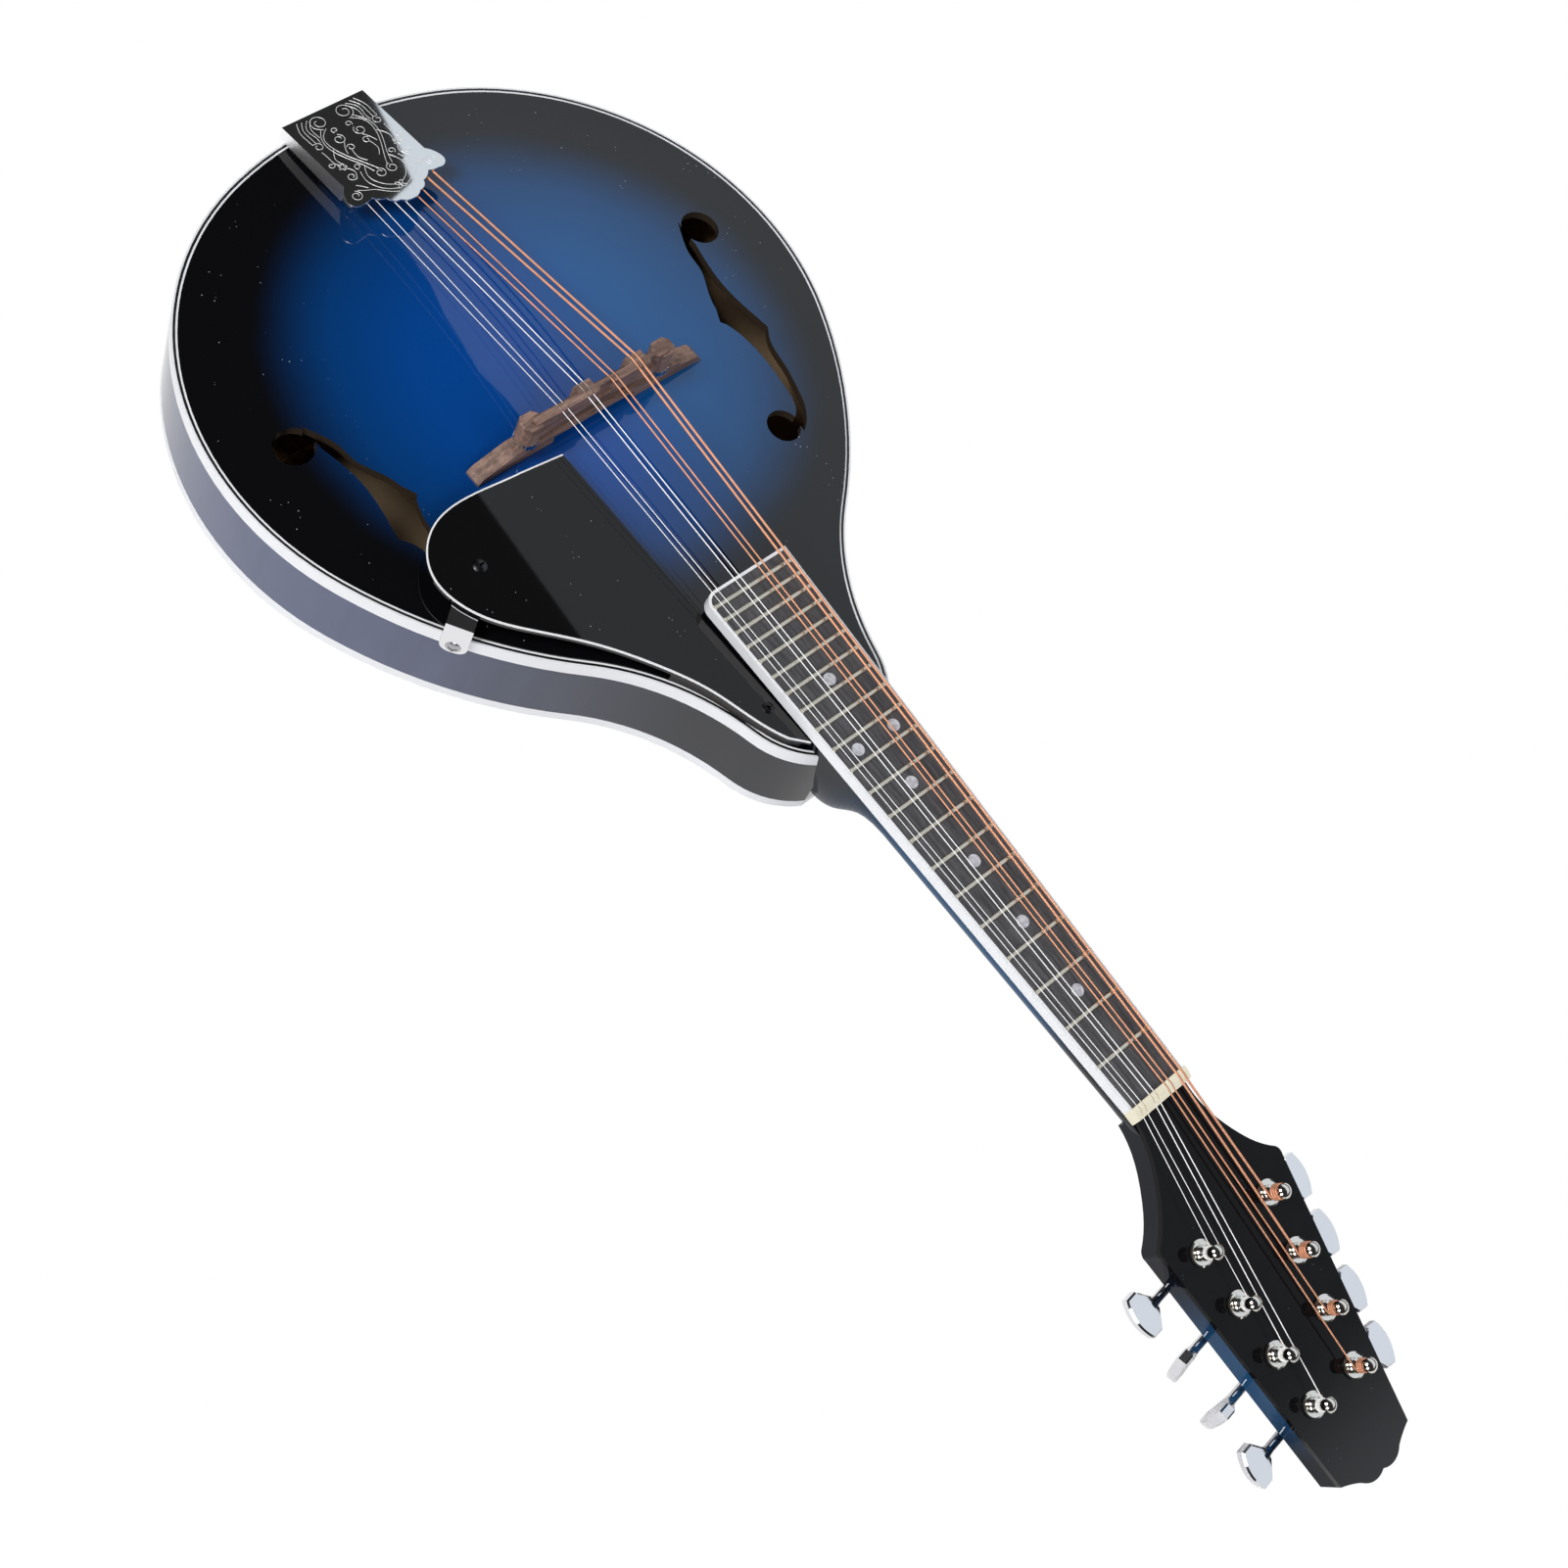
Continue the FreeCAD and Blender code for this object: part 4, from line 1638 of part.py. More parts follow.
os.makedirs("parts", exist_ok=True)
NODES = all_nodes()
REST = resting_frame(NODES)
for node_name, node_shape in sorted(NODES.items()):
    placed(node_shape, REST).exportStep("parts/%s.step" % node_name)
for pair_number, pair_radius in enumerate(STRING_RADII):
    for string_side in (-1, 1):
        route = string_edges(pair_number, string_side)
        length = sum(edge.Length for edge in route)
        tightest = min(edge.Curve.Radius for edge in route if hasattr(edge.Curve, "Radius"))
        solid = tube(route, pair_radius)
        share = solid.Volume / (math.pi * pair_radius ** 2 * length)
        gap = coil_gap(pair_number, string_side)
        print("string %d%+d radius %.2f length %.1f volume share %.4f" % (
            pair_number, string_side, pair_radius, length, share), end=" ")
        print("tightest arc %.2f least gap in the coil %.2f" % (tightest, gap))
print("nodes", len(NODES), "rest turn and shift", REST)
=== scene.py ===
import math
import bpy
import bmesh
from mathutils import Matrix, Vector


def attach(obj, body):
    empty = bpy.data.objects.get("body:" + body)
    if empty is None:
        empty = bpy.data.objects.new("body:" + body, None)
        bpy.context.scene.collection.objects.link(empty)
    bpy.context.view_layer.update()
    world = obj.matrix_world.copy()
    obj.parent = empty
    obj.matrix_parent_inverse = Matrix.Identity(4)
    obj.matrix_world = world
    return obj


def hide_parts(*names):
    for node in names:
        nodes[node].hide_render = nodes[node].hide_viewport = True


# %% [markdown]
# # A small teardrop mandolin
# The instrument lies on its back, in metres, with X from the tail to the head and Z up.
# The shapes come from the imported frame. This lesson gives every piece its finish, adds the
# fine relief that catches light, and sets up the camera and the lamps of a product picture.

# %% Load the frame
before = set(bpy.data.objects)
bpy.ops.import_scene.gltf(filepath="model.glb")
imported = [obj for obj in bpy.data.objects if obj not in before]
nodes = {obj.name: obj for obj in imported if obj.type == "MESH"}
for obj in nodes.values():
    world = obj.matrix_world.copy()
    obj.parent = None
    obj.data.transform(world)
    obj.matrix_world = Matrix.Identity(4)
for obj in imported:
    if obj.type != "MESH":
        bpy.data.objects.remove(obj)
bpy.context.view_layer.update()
print("pieces in the frame:", len(nodes))

# %% [markdown]
# ## Places that the finishes follow
# The burst, the grain and the engraving are laid out on the body, whose rim plane is tilted
# by two degrees in the resting pose. One matrix leads from the resting pose to the body,
# and from it come the neck's and the head's own directions.

# %% Frames of the body, the neck and the head
REST_TILT = math.radians(2.0071563)
REST_SHIFT = Vector((-0.1711796, 0.0, 0.0539864))
JOINT = Vector((0.1765016, 0.0, 0.01076))
NECK_ANGLE = math.radians(4.82)
HEAD_ANGLE = math.radians(13.5)
HEAD_START = Vector((0.1803, 0.0, -0.003))

body_frame = Matrix.Translation(REST_SHIFT) @ Matrix.Rotation(-REST_TILT, 4, "Y")
neck_frame = body_frame @ Matrix.Translation(JOINT) @ Matrix.Rotation(NECK_ANGLE, 4, "Y")
head_frame = neck_frame @ Matrix.Translation(HEAD_START) @ Matrix.Rotation(HEAD_ANGLE, 4, "Y")
print("head frame starts at", [round(v, 4) for v in head_frame.translation])

# %% [markdown]
# ## Arithmetic for finishes
# A finish is a small graph of nodes. Writing it as sums and products keeps it readable, so one
# class stands for an output inside a material and turns arithmetic into maths nodes.

# %% The finish builder
class Wire:
    """One output inside a material. Plain arithmetic on it adds maths nodes."""

    def __init__(self, tree, socket):
        self.tree = tree
        self.socket = socket

    @property
    def is_vector(self):
        return self.socket.type in {"VECTOR", "RGBA"}

    def math(self, operation, *values):
        vector = any(isinstance(v, Wire) and v.is_vector for v in values) or \
            any(isinstance(v, (tuple, Vector)) for v in values)
        kind = "ShaderNodeVectorMath" if vector else "ShaderNodeMath"
        node = self.tree.nodes.new(kind)
        node.operation = operation
        for slot, value in zip(node.inputs, values):
            feed(self.tree, slot, value)
        return Wire(self.tree, node.outputs[0])

    def __add__(self, other):
        return self.math("ADD", self, other)

    def __sub__(self, other):
        return self.math("SUBTRACT", self, other)

    def __mul__(self, other):
        return self.math("MULTIPLY", self, other)

    def __truediv__(self, other):
        return self.math("DIVIDE", self, other)

    def __pow__(self, other):
        return self.math("POWER", self, other)

    def __abs__(self):
        return self.math("ABSOLUTE", self)

    def largest(self, other):
        return self.math("MAXIMUM", self, other)

    def sine(self):
        return self.math("SINE", self)


def feed(tree, slot, value):
    """Connects an output to an input, or sets the input's own value."""
    if isinstance(value, Wire):
        tree.links.new(value.socket, slot)
    elif slot.type == "RGBA" and len(value) == 3:
        slot.default_value = (*value, 1.0)
    elif slot.type == "VECTOR" and isinstance(value, (int, float)):
        slot.default_value = (value, value, value)
    else:
        slot.default_value = value


# The mix node has sockets for numbers, vectors and colours. These are the colour ones.
MIX_FACTOR, MIX_FIRST, MIX_SECOND, MIX_RESULT = 0, 6, 7, 2

SPECK_SCALE = 430.0
SPECK_CLUSTERS = 75.0
SPECK_COLOUR = (0.60, 0.64, 0.72)


class Finish:
    """A material with its shader, and shortcuts for the nodes that a finish needs."""

    def __init__(self, name, **values):
        self.material = bpy.data.materials.new(name)
        self.material.use_nodes = True
        self.tree = self.material.node_tree
        self.shader = self.tree.nodes["Principled BSDF"]
        self.place = self.node("ShaderNodeTexCoord", output="Object")
        for key, value in values.items():
            self.set(key.replace("_", " ").title().replace("Ior", "IOR"), value)

    def set(self, socket, value):
        """Sets one input of the shader."""
        feed(self.tree, self.shader.inputs[socket], value)

    def node(self, kind, output=0, settings=(), **sockets):
        """Adds any node: first its settings, then its inputs by name."""
        made = self.tree.nodes.new(kind)
        for key, value in dict(settings).items():
            setattr(made, key, value)
        for key, value in sockets.items():
            feed(self.tree, made.inputs[key.replace("_", " ")], value)
        return Wire(self.tree, made.outputs[output])

    def local(self, frame_matrix):
        """Coordinates in a frame that is turned and shifted from the resting pose."""
        back = frame_matrix.inverted()
        turn = back.to_euler()
        return self.node("ShaderNodeMapping", settings={"vector_type": "POINT"}, Vector=self.place,
                         Location=tuple(back.translation), Rotation=tuple(turn))

    def parts(self, vector):
        """The three numbers of a vector."""
        made = self.tree.nodes.new("ShaderNodeSeparateXYZ")
        feed(self.tree, made.inputs[0], vector)
        return [Wire(self.tree, output) for output in made.outputs]

    def vector(self, x, y, z):
        """A vector from three numbers."""
        return self.node("ShaderNodeCombineXYZ", X=x, Y=y, Z=z)

    def smooth(self, value, low, high):
        """A soft step between two values."""
        made = self.tree.nodes.new("ShaderNodeMapRange")
        made.interpolation_type = "SMOOTHSTEP"
        for slot, item in zip(("Value", "From Min", "From Max"), (value, low, high)):
            feed(self.tree, made.inputs[slot], item)
        return Wire(self.tree, made.outputs[0])

    def mix(self, factor, first, second):
        """A colour between two colours."""
        made = self.tree.nodes.new("ShaderNodeMix")
        made.data_type = "RGBA"
        feed(self.tree, made.inputs[MIX_FACTOR], factor)
        feed(self.tree, made.inputs[MIX_FIRST], first)
        feed(self.tree, made.inputs[MIX_SECOND], second)
        return Wire(self.tree, made.outputs[MIX_RESULT])

    def noise(self, vector, scale, detail=3.0, roughness=0.5):
        """Soft random values."""
        return self.node("ShaderNodeTexNoise", Vector=vector, Scale=scale, Detail=detail,
                         Roughness=roughness)

    def bump(self, height, strength, distance):
        """Fine relief from a height."""
        self.set("Normal", self.node("ShaderNodeBump", Height=height, Strength=strength,
                                     Distance=distance))

    def coat(self, weight, roughness):
        """A layer of clear lacquer. It alone mirrors, so the colour under it stays deep."""
        self.set("Specular IOR Level", 0.0)
        self.set("Coat Weight", weight)
        self.set("Coat Roughness", roughness)

    def uneven(self, roughness, spread, scale):
        """Gloss that wanders a little, as wiping and handling leave it."""
        cloud = self.noise(self.place, scale, 3.0)
        self.set("Roughness", cloud * spread + (roughness - spread / 2))
        return self

    def normal(self):
        """The direction in which a face points."""
        return self.node("ShaderNodeTexCoord", output="Normal")

    def dot(self, first, second):
        """How far one direction goes along another."""
        made = self.tree.nodes.new("ShaderNodeVectorMath")
        made.operation = "DOT_PRODUCT"
        feed(self.tree, made.inputs[0], first)
        feed(self.tree, made.inputs[1], second)
        return Wire(self.tree, made.outputs["Value"])

    def facing(self, direction):
        """How far a face points in a direction, from -1 to 1."""
        return self.dot(self.normal(), tuple(direction))

    def dusted(self, colour, amount):
        """Single bright specks of dust on a colour, gathered in loose clusters."""
        cell = self.node("ShaderNodeTexVoronoi", settings={"feature": "F1"}, Vector=self.place,
                         Scale=SPECK_SCALE)
        cluster = self.smooth(self.noise(self.place, SPECK_CLUSTERS, 3.0), 0.59, 0.62)
        return self.mix(self.smooth(cell, 0.12, 0.05) * cluster * amount, colour, SPECK_COLOUR)


def dress(finish, *names):
    """Gives a finish to frame pieces."""
    for name in names:
        mesh = nodes[name].data
        mesh.materials.clear()
        mesh.materials.append(finish.material)


print("finish builder ready")

# %% [markdown]
# ## The blue burst
# The top is sprayed: a deep clear blue in the middle, then black that creeps in from the edge,
# under a thick gloss lacquer. The fade follows the shape of the body, so its measure is an
# ellipse round the crown of the arch, longer towards the neck than towards the tail.
# Single fine specks of dust dot the black part of the spray. Only the outer face is sprayed:
# the inside stays bare spruce, and the walls of the sound holes are coloured near black as
# painted shade.

# %% Top finish
BURST_CENTRE_X = -0.022
BURST_TO_NECK = 0.119
BURST_TO_TAIL = 0.121
BURST_TO_BASS = 0.123
BURST_TO_TREBLE = 0.111
BURST_WANDER = 0.05
BARE_SPRUCE = (0.42, 0.30, 0.20)
# Painted shade: the walls of the sound holes are coloured near black, not bare spruce.
HOLE_WALL_PAINTED_SHADE = (0.035, 0.025, 0.017)
BLUE_DEEP = (0.0010, 0.054, 0.270)
BLUE_SOFT = (0.0012, 0.036, 0.150)
BASS_DEEP = (0.0012, 0.086, 0.285)
BASS_SOFT = (0.0014, 0.052, 0.170)
BURST_BLACK = (0.0028, 0.0029, 0.0036)

UP = body_frame.to_3x3() @ Vector((0.0, 0.0, 1.0))


def burst_spread(along, across, to_bass, to_treble):
    """How far out a point lies, from 0 at the crown of the arch to 1 at the rim."""
    reach = (along / BURST_TO_NECK).largest(along * (-1.0 / BURST_TO_TAIL))
    aside = (across / to_bass).largest(across * (-1.0 / to_treble))
    return (reach * reach + aside * aside) ** 0.5


top = Finish("top_finish", roughness=0.45)
top_x, top_y = top.parts(top.local(body_frame))[:2]
spread = burst_spread(top_x - BURST_CENTRE_X, top_y, BURST_TO_BASS, BURST_TO_TREBLE)
spread = spread + (top.noise(top.place, 22.0, 2.0) - 0.5) * BURST_WANDER
to_bass = top.smooth(top_y, -0.005, 0.050)
blue = top.mix(top.smooth(spread, 0.35, 0.85), top.mix(to_bass, BLUE_DEEP, BASS_DEEP),
               top.mix(to_bass, BLUE_SOFT, BASS_SOFT))
burst = top.mix(top.smooth(spread, 0.70, 1.00), blue, BURST_BLACK)
dusty_burst = top.dusted(burst, top.smooth(spread, 0.70, 0.90) * 0.8)
outside = top.smooth(top.facing(UP), 0.45, 0.55).largest(top.smooth(spread, 0.93, 0.99))
# Painted shade: faces turned sideways, the walls of the sound holes, get the near black colour;
# faces turned down stay bare spruce.
bare_inside_and_wall_shade = top.mix(top.smooth(top.facing(UP), -0.30, -0.60), HOLE_WALL_PAINTED_SHADE, BARE_SPRUCE)
top.coat(outside, 0.02)
top.set("Base Color", top.mix(outside, bare_inside_and_wall_shade, dusty_burst))
dress(top, "top_plate")
print("top dressed")

# %% [markdown]
# ## The other lacquered wood
# The sides, back and neck carry the same lacquer over a dark blue that fades to black near the
# joints. The face of the head is solid black. Each colour is a fade along one axis of the
# piece, so that it follows the wood and not the picture. Inside, the sides and back stay bare.

# %% Sides, back, neck and head
JOINT_BLACK = (0.004, 0.005, 0.009)
RIB_BLUE = (0.080, 0.095, 0.175)
BACK_BLUE = (0.003, 0.030, 0.150)
NECK_BLUE = (0.012, 0.060, 0.145)
FACE_BLACK = (0.0050, 0.0050, 0.0058)
BARE_RIB = (0.46, 0.33, 0.21)
BARE_BACK = (0.31, 0.22, 0.135)

sides = Finish("side_finish", roughness=0.45)
side_x, side_y = sides.parts(sides.local(body_frame))[:2]
figure = sides.noise(sides.place * (1.0, 1.0, 0.12), 90.0, 2.0)
waist = sides.smooth(abs(side_x - BURST_CENTRE_X), 0.16, 0.04) * (figure * 0.5 + 0.75)
outward = sides.dot(sides.normal(), sides.vector(side_x, side_y, 0.0))
rib_outside = sides.smooth(outward, -0.002, 0.002)
sides.coat(rib_outside, 0.03)
sides.set("Base Color", sides.mix(rib_outside, BARE_RIB, sides.mix(waist, JOINT_BLACK, RIB_BLUE)))
dress(sides, "side_ribs")

back = Finish("back_finish", roughness=0.4)
back_x, back_y = back.parts(back.local(body_frame))[:2]
back_spread = burst_spread(back_x - BURST_CENTRE_X, back_y, BURST_TO_BASS, BURST_TO_BASS)
back_colour = back.mix(back.smooth(back_spread, 0.55, 1.05), BACK_BLUE, BURST_BLACK)
back_outside = back.smooth(back.facing(UP), -0.30, -0.45)
back.coat(back_outside, 0.03)
back.set("Base Color", back.mix(back_outside, BARE_BACK, back.dusted(back_colour, 0.4)))
dress(back, "back_plate")

neck = Finish("neck_finish", roughness=0.4)
neck_x = neck.parts(neck.local(head_frame))[0]
at_head = neck.smooth(neck_x, 0.055, 0.098) * neck.smooth(neck_x, 0.152, 0.115)
at_shaft = neck.smooth(neck_x, -0.025, -0.060) * neck.smooth(neck_x, -0.170, -0.120)
neck.set("Base Color", neck.mix(at_head.largest(at_shaft), JOINT_BLACK, NECK_BLUE))
neck.coat(0.4, 0.03)
dress(neck, "neck")

face = Finish("head_face", roughness=0.35)
face_x = face.parts(face.local(head_frame))[0]
face.coat(face.smooth(face_x, 0.110, 0.172) * 0.75 + 0.25, 0.03)
face.set("Base Color", face.dusted(FACE_BLACK, 0.15))
dress(face, "headstock_overlay")
print("lacquered wood dressed")

# %% [markdown]
# ## Binding and guard
# White plastic strips are glued round the edges of the body and the board and scraped flush.
# The guard is a black sheet with a white edge. Such plastic has one colour, so only its gloss
# wanders, as wiping leaves it, and the black sheet gathers dust.

# %% Bindings and guard
binding = Finish("binding_ivory", base_color=(0.80, 0.81, 0.84)).uneven(0.26, 0.08, 60.0)
binding.coat(0.6, 0.05)
dress(binding, "top_binding", "back_binding", "fretboard_binding")

edging = Finish("guard_white", base_color=(0.82, 0.82, 0.84)).uneven(0.30, 0.06, 80.0)
dress(edging, "pickguard_edging")
guard = Finish("guard_black", roughness=0.02, specular_ior_level=0.34)
guard.set("Base Color", guard.dusted((0.0046, 0.0046, 0.0052), 0.5))
dress(guard, "pickguard")
print("plastic dressed")

# %% [markdown]
# ## The black line in the binding
# A thin black strip is glued between white ones before they are bent round the top, and from
# above it shows as a line. Here the line is a copy of the binding's upper faces, drawn in from
# both edges and lifted by a hair, so that it follows the binding exactly.

# %% Purfling
PURFLING_MARGIN = 0.00080
PURFLING_LIFT = 0.00003
FACES_UP = 0.95


def pick(piece, wanted):
    """Selects the faces of the edited piece that meet a test."""
    mesh = bmesh.from_edit_mesh(piece.data)
    for item in mesh.faces:
        item.select_set(wanted(item))
    mesh.select_flush_mode()
    bmesh.update_edit_mesh(piece.data)


bpy.ops.object.select_all(action="DESELECT")
line = nodes["top_binding"].copy()
line.data = nodes["top_binding"].data.copy()
line.parent = None
line.name = line.data.name = "top_purfling"
bpy.context.scene.collection.objects.link(line)
line.select_set(True)
bpy.context.view_layer.objects.active = line

bpy.ops.object.mode_set(mode="EDIT")
bpy.ops.mesh.select_mode(type="FACE")
bpy.ops.mesh.remove_doubles(threshold=1e-6)
pick(line, lambda item: item.normal.dot(UP) < FACES_UP)
bpy.ops.mesh.delete(type="FACE")
bpy.ops.mesh.select_all(action="SELECT")
bpy.ops.mesh.inset(thickness=PURFLING_MARGIN, depth=0.0, use_even_offset=True)
bpy.ops.mesh.select_all(action="INVERT")
bpy.ops.mesh.delete(type="FACE")
bpy.ops.mesh.select_all(action="SELECT")
bpy.ops.transform.translate(value=tuple(UP * PURFLING_LIFT))
bpy.ops.object.mode_set(mode="OBJECT")
line_black = Finish("line_black", base_color=(0.006, 0.006, 0.007)).uneven(0.3, 0.06, 80.0)
line.data.materials.clear()
line.data.materials.append(line_black.material)
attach(line, "instrument")
print("purfling faces:", len(line.data.polygons))

# %% [markdown]
# ## Wood without lacquer
# The bridge is open-pored brown wood whose grain runs along it. The board is nearly black with
# fine grey pores along the strings. Inside, spruce and linings stay bare.

# %% Bridge, board and inner wood
PORE_DARKNESS = 0.35


def wood(name, frame_matrix, stretch, dark, light, scale, pores, roughness):
    """A grained wood: streaks stretched along one axis and darker pores."""
    grain = Finish(name, roughness=roughness)
    place = grain.local(frame_matrix)
    streak = grain.noise(place * stretch, scale, 4.0, 0.6)
    pore = grain.noise(place * tuple(s * 3.0 for s in stretch), scale * 1.7, 2.0, 0.7)
    colour = grain.mix(grain.smooth(streak, 0.30, 0.70), dark, light)
    pore_colour = tuple(c * PORE_DARKNESS for c in dark)
    grain.set("Base Color", grain.mix(grain.smooth(pore, 0.56, 0.66) * pores, colour, pore_colour))
    grain.bump(streak + pore * 0.6, 0.25, 0.0004)
    return grain


bridge = wood("bridge_wood", body_frame, (1.0, 0.10, 1.0), (0.130, 0.078, 0.062),
              (0.330, 0.205, 0.160), 420.0, 0.75, 0.55)
dress(bridge, "bridge_base", "bridge_saddle")
board = wood("board_wood", neck_frame, (0.07, 1.0, 1.0), (0.030, 0.030, 0.034),
             (0.088, 0.086, 0.092), 800.0, 0.6, 0.5)
dress(board, "fretboard")
bare = wood("bare_wood", body_frame, (0.06, 1.0, 1.0), (0.30, 0.19, 0.10),
            (0.45, 0.30, 0.17), 260.0, 0.4, 0.7)
dress(bare, "top_lining", "back_lining", "tail_block", "neck_block", "tone_bars", "back_braces")
# The spacer under the guard is given near-black wood.
near_black_spacer = wood("spacer_wood", body_frame, (0.06, 1.0, 1.0), (0.012, 0.010, 0.010),
               (0.030, 0.024, 0.022), 260.0, 0.4, 0.5)
dress(near_black_spacer, "pickguard_spacer")
print("bare wood dressed")

# %% [markdown]
# ## Metal, pearl and bone
# Frets are nickel silver, a little yellow. Posts, bushings and plates are nickel; keys and the
# tailpiece are chrome. The two thin pairs of strings are plain steel, and the two thick ones
# are wound with bronze wire, whose turns are a sine relief along the string. The thin ones are
# narrower than a dot of the picture, so a little light of their own keeps them in sight. The
# nut is cream, and the marks are grey plastic pearl.

# %% Metals and small pieces
def metal(name, colour, roughness, names, spread=0.04, scale=120.0, metallic=1.0):
    """A polished or drawn metal whose gloss and tone wander a little."""
    finish = Finish(name, metallic=metallic).uneven(roughness, spread, scale)
    cloud = finish.noise(finish.place, scale * 0.4, 2.0)
    finish.set("Base Color", finish.mix(cloud, tuple(c * 0.93 for c in colour), colour))
    dress(finish, *names)
    return finish


def eight(kind):
    """The names of all eight posts or keys."""
    return ["%s_%s_%d" % (kind, side, k) for side in ("bass", "treble") for k in range(1, 5)]


NICKEL = (0.78, 0.75, 0.70)
COVER_ROUGHNESS = 0.022
FLANK_ROUGHNESS = 0.38
STRING_GLOW = 0.18
WINDING_PITCH = 0.0002
WINDING_RELIEF = 0.00003

metal("fret_metal", (0.72, 0.68, 0.58), 0.28, ["frets"])
metal("post_nickel", NICKEL, 0.12, eight("post"))
metal("machine_nickel", NICKEL, 0.14,
      ["tuner_plate_bass", "tuner_plate_treble", "tuner_bushings", "tuner_plate_screws"])
metal("tail_chrome", (0.80, 0.80, 0.82), 0.05,
      ["tailpiece_base", "tailpiece_screws", "pickguard_bracket"], 0.02)
mirror = metal("cover_mirror", (0.74, 0.74, 0.77), COVER_ROUGHNESS, ["tailpiece_cover"], 0.01)
# The cover's steep flanks are rougher, and their colour is raised to near white there as a painted
# highlight.
flank_rough_and_painted_bright = mirror.smooth(mirror.facing(UP), 0.60, 0.40)
mirror.set("Roughness", flank_rough_and_painted_bright * FLANK_ROUGHNESS + COVER_ROUGHNESS)
mirror.set("Base Color", mirror.mix(flank_rough_and_painted_bright, (0.74, 0.75, 0.76), (0.97, 0.97, 0.98)))
metal("key_chrome", (0.80, 0.80, 0.83), 0.08, eight("key"))
metal("bridge_metal", (0.78, 0.77, 0.74), 0.18,
      ["bridge_posts", "thumbwheel_bass", "thumbwheel_treble"])
metal("rod_steel", (0.40, 0.40, 0.41), 0.40, ["neck_rod"])

steel = metal("string_steel", (0.97, 0.97, 0.98), 0.32, ["strings_e", "strings_a"], metallic=0.10)
steel.set("Emission Color", (1.0, 1.0, 1.0))
steel.set("Emission Strength", STRING_GLOW)
bronze = metal("string_bronze", (0.88, 0.42, 0.25), 0.36, ["strings_d", "strings_g"],
               metallic=0.55)
string_x = bronze.parts(bronze.place)[0]
bronze.bump((string_x * (2.0 * math.pi / WINDING_PITCH)).sine(), 0.25, WINDING_RELIEF)

pin = Finish("pin_black", base_color=(0.004, 0.004, 0.004)).uneven(0.3, 0.08, 90.0)
dress(pin, "end_pin")
nut = Finish("nut_cream").uneven(0.35, 0.08, 200.0)
nut.set("Base Color", nut.mix(nut.noise(nut.place, 300.0, 3.0), (0.74, 0.68, 0.52),
                              (0.82, 0.77, 0.62)))
dress(nut, "nut")
pearl = Finish("pearl", roughness=0.2)
pearl_cloud = pearl.smooth(pearl.noise(pearl.place, 500.0, 3.0), 0.35, 0.65)
pearl.set("Base Color", pearl.mix(pearl_cloud, (0.42, 0.42, 0.47), (0.60, 0.60, 0.65)))
pearl.coat(0.5, 0.05)
dress(pearl, "position_dots")
print("metal and small pieces dressed")

# %% [markdown]
# ## The screws of the guard
# The guard hangs on a small bracket, which a domed screw with a cross slot holds to the side,
# and two darker screws hold the guard itself. Such a head is pressed from wire and its slot is
# punched. Here it is the cap of a sphere, cut off flat, with two crossed bars taken out.

# %% Domed cross-slot screws
SLOT_WIDTH = 0.0008
SLOT_DEPTH = 0.0007
SLOT_REACH = 1.15
BALL_STEPS = 64
SMOOTH_ANGLE = math.radians(35)
GUARD_UP = Vector((0.0538324, 0.0, 0.99855))
SIDE_OUT = Vector((0.58804, -0.80883, 0.0))


def cross_screw(name, place, out, ball, radius):
    """A domed head with a cross slot: its seat, its direction, the sphere's radius and its own."""
    drop = math.sqrt(ball ** 2 - radius ** 2)
    bpy.ops.object.select_all(action="DESELECT")
    bpy.ops.mesh.primitive_uv_sphere_add(segments=BALL_STEPS, ring_count=BALL_STEPS,
                                         radius=ball)
    screw = bpy.context.active_object
    screw.name = screw.data.name = name
    bpy.ops.object.mode_set(mode="EDIT")
    bpy.ops.mesh.select_all(action="SELECT")
    bpy.ops.mesh.bisect(plane_co=(0, 0, drop), plane_no=(0, 0, 1), clear_inner=True,
                        use_fill=True)
    bpy.ops.mesh.select_all(action="SELECT")
    bpy.ops.transform.translate(value=(0, 0, -drop))
    bpy.ops.object.mode_set(mode="OBJECT")
    reach = SLOT_REACH * radius
    for size in ((reach, SLOT_WIDTH), (SLOT_WIDTH, reach)):
        bpy.ops.object.select_all(action="DESELECT")
        bpy.ops.mesh.primitive_cube_add(size=1.0, location=(0, 0, ball - drop))
        bar = bpy.context.active_object
        bar.scale = (*size, 2 * SLOT_DEPTH)
        bpy.ops.object.transform_apply(location=True, rotation=True, scale=True)
        bpy.ops.object.select_all(action="DESELECT")
        screw.select_set(True)
        bpy.context.view_layer.objects.active = screw
        cut = screw.modifiers.new("cut", "BOOLEAN")
        cut.operation = "DIFFERENCE"
        cut.object = bar
        bpy.ops.object.modifier_apply(modifier="cut")
        bpy.data.objects.remove(bar)
    turn = out.to_track_quat("Z", "X").to_matrix().to_4x4()
    screw.matrix_world = body_frame @ Matrix.Translation(place) @ turn
    bpy.ops.object.transform_apply(location=True, rotation=True, scale=True)
    bpy.ops.object.shade_smooth_by_angle(angle=SMOOTH_ANGLE)
    return screw


def finish_screw(screw, finish, node):
    """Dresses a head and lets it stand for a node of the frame."""
    screw.data.materials.clear()
    screw.data.materials.append(finish.material)
    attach(screw, "instrument")
    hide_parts(node)
    print(screw.name, "faces:", len(screw.data.polygons))


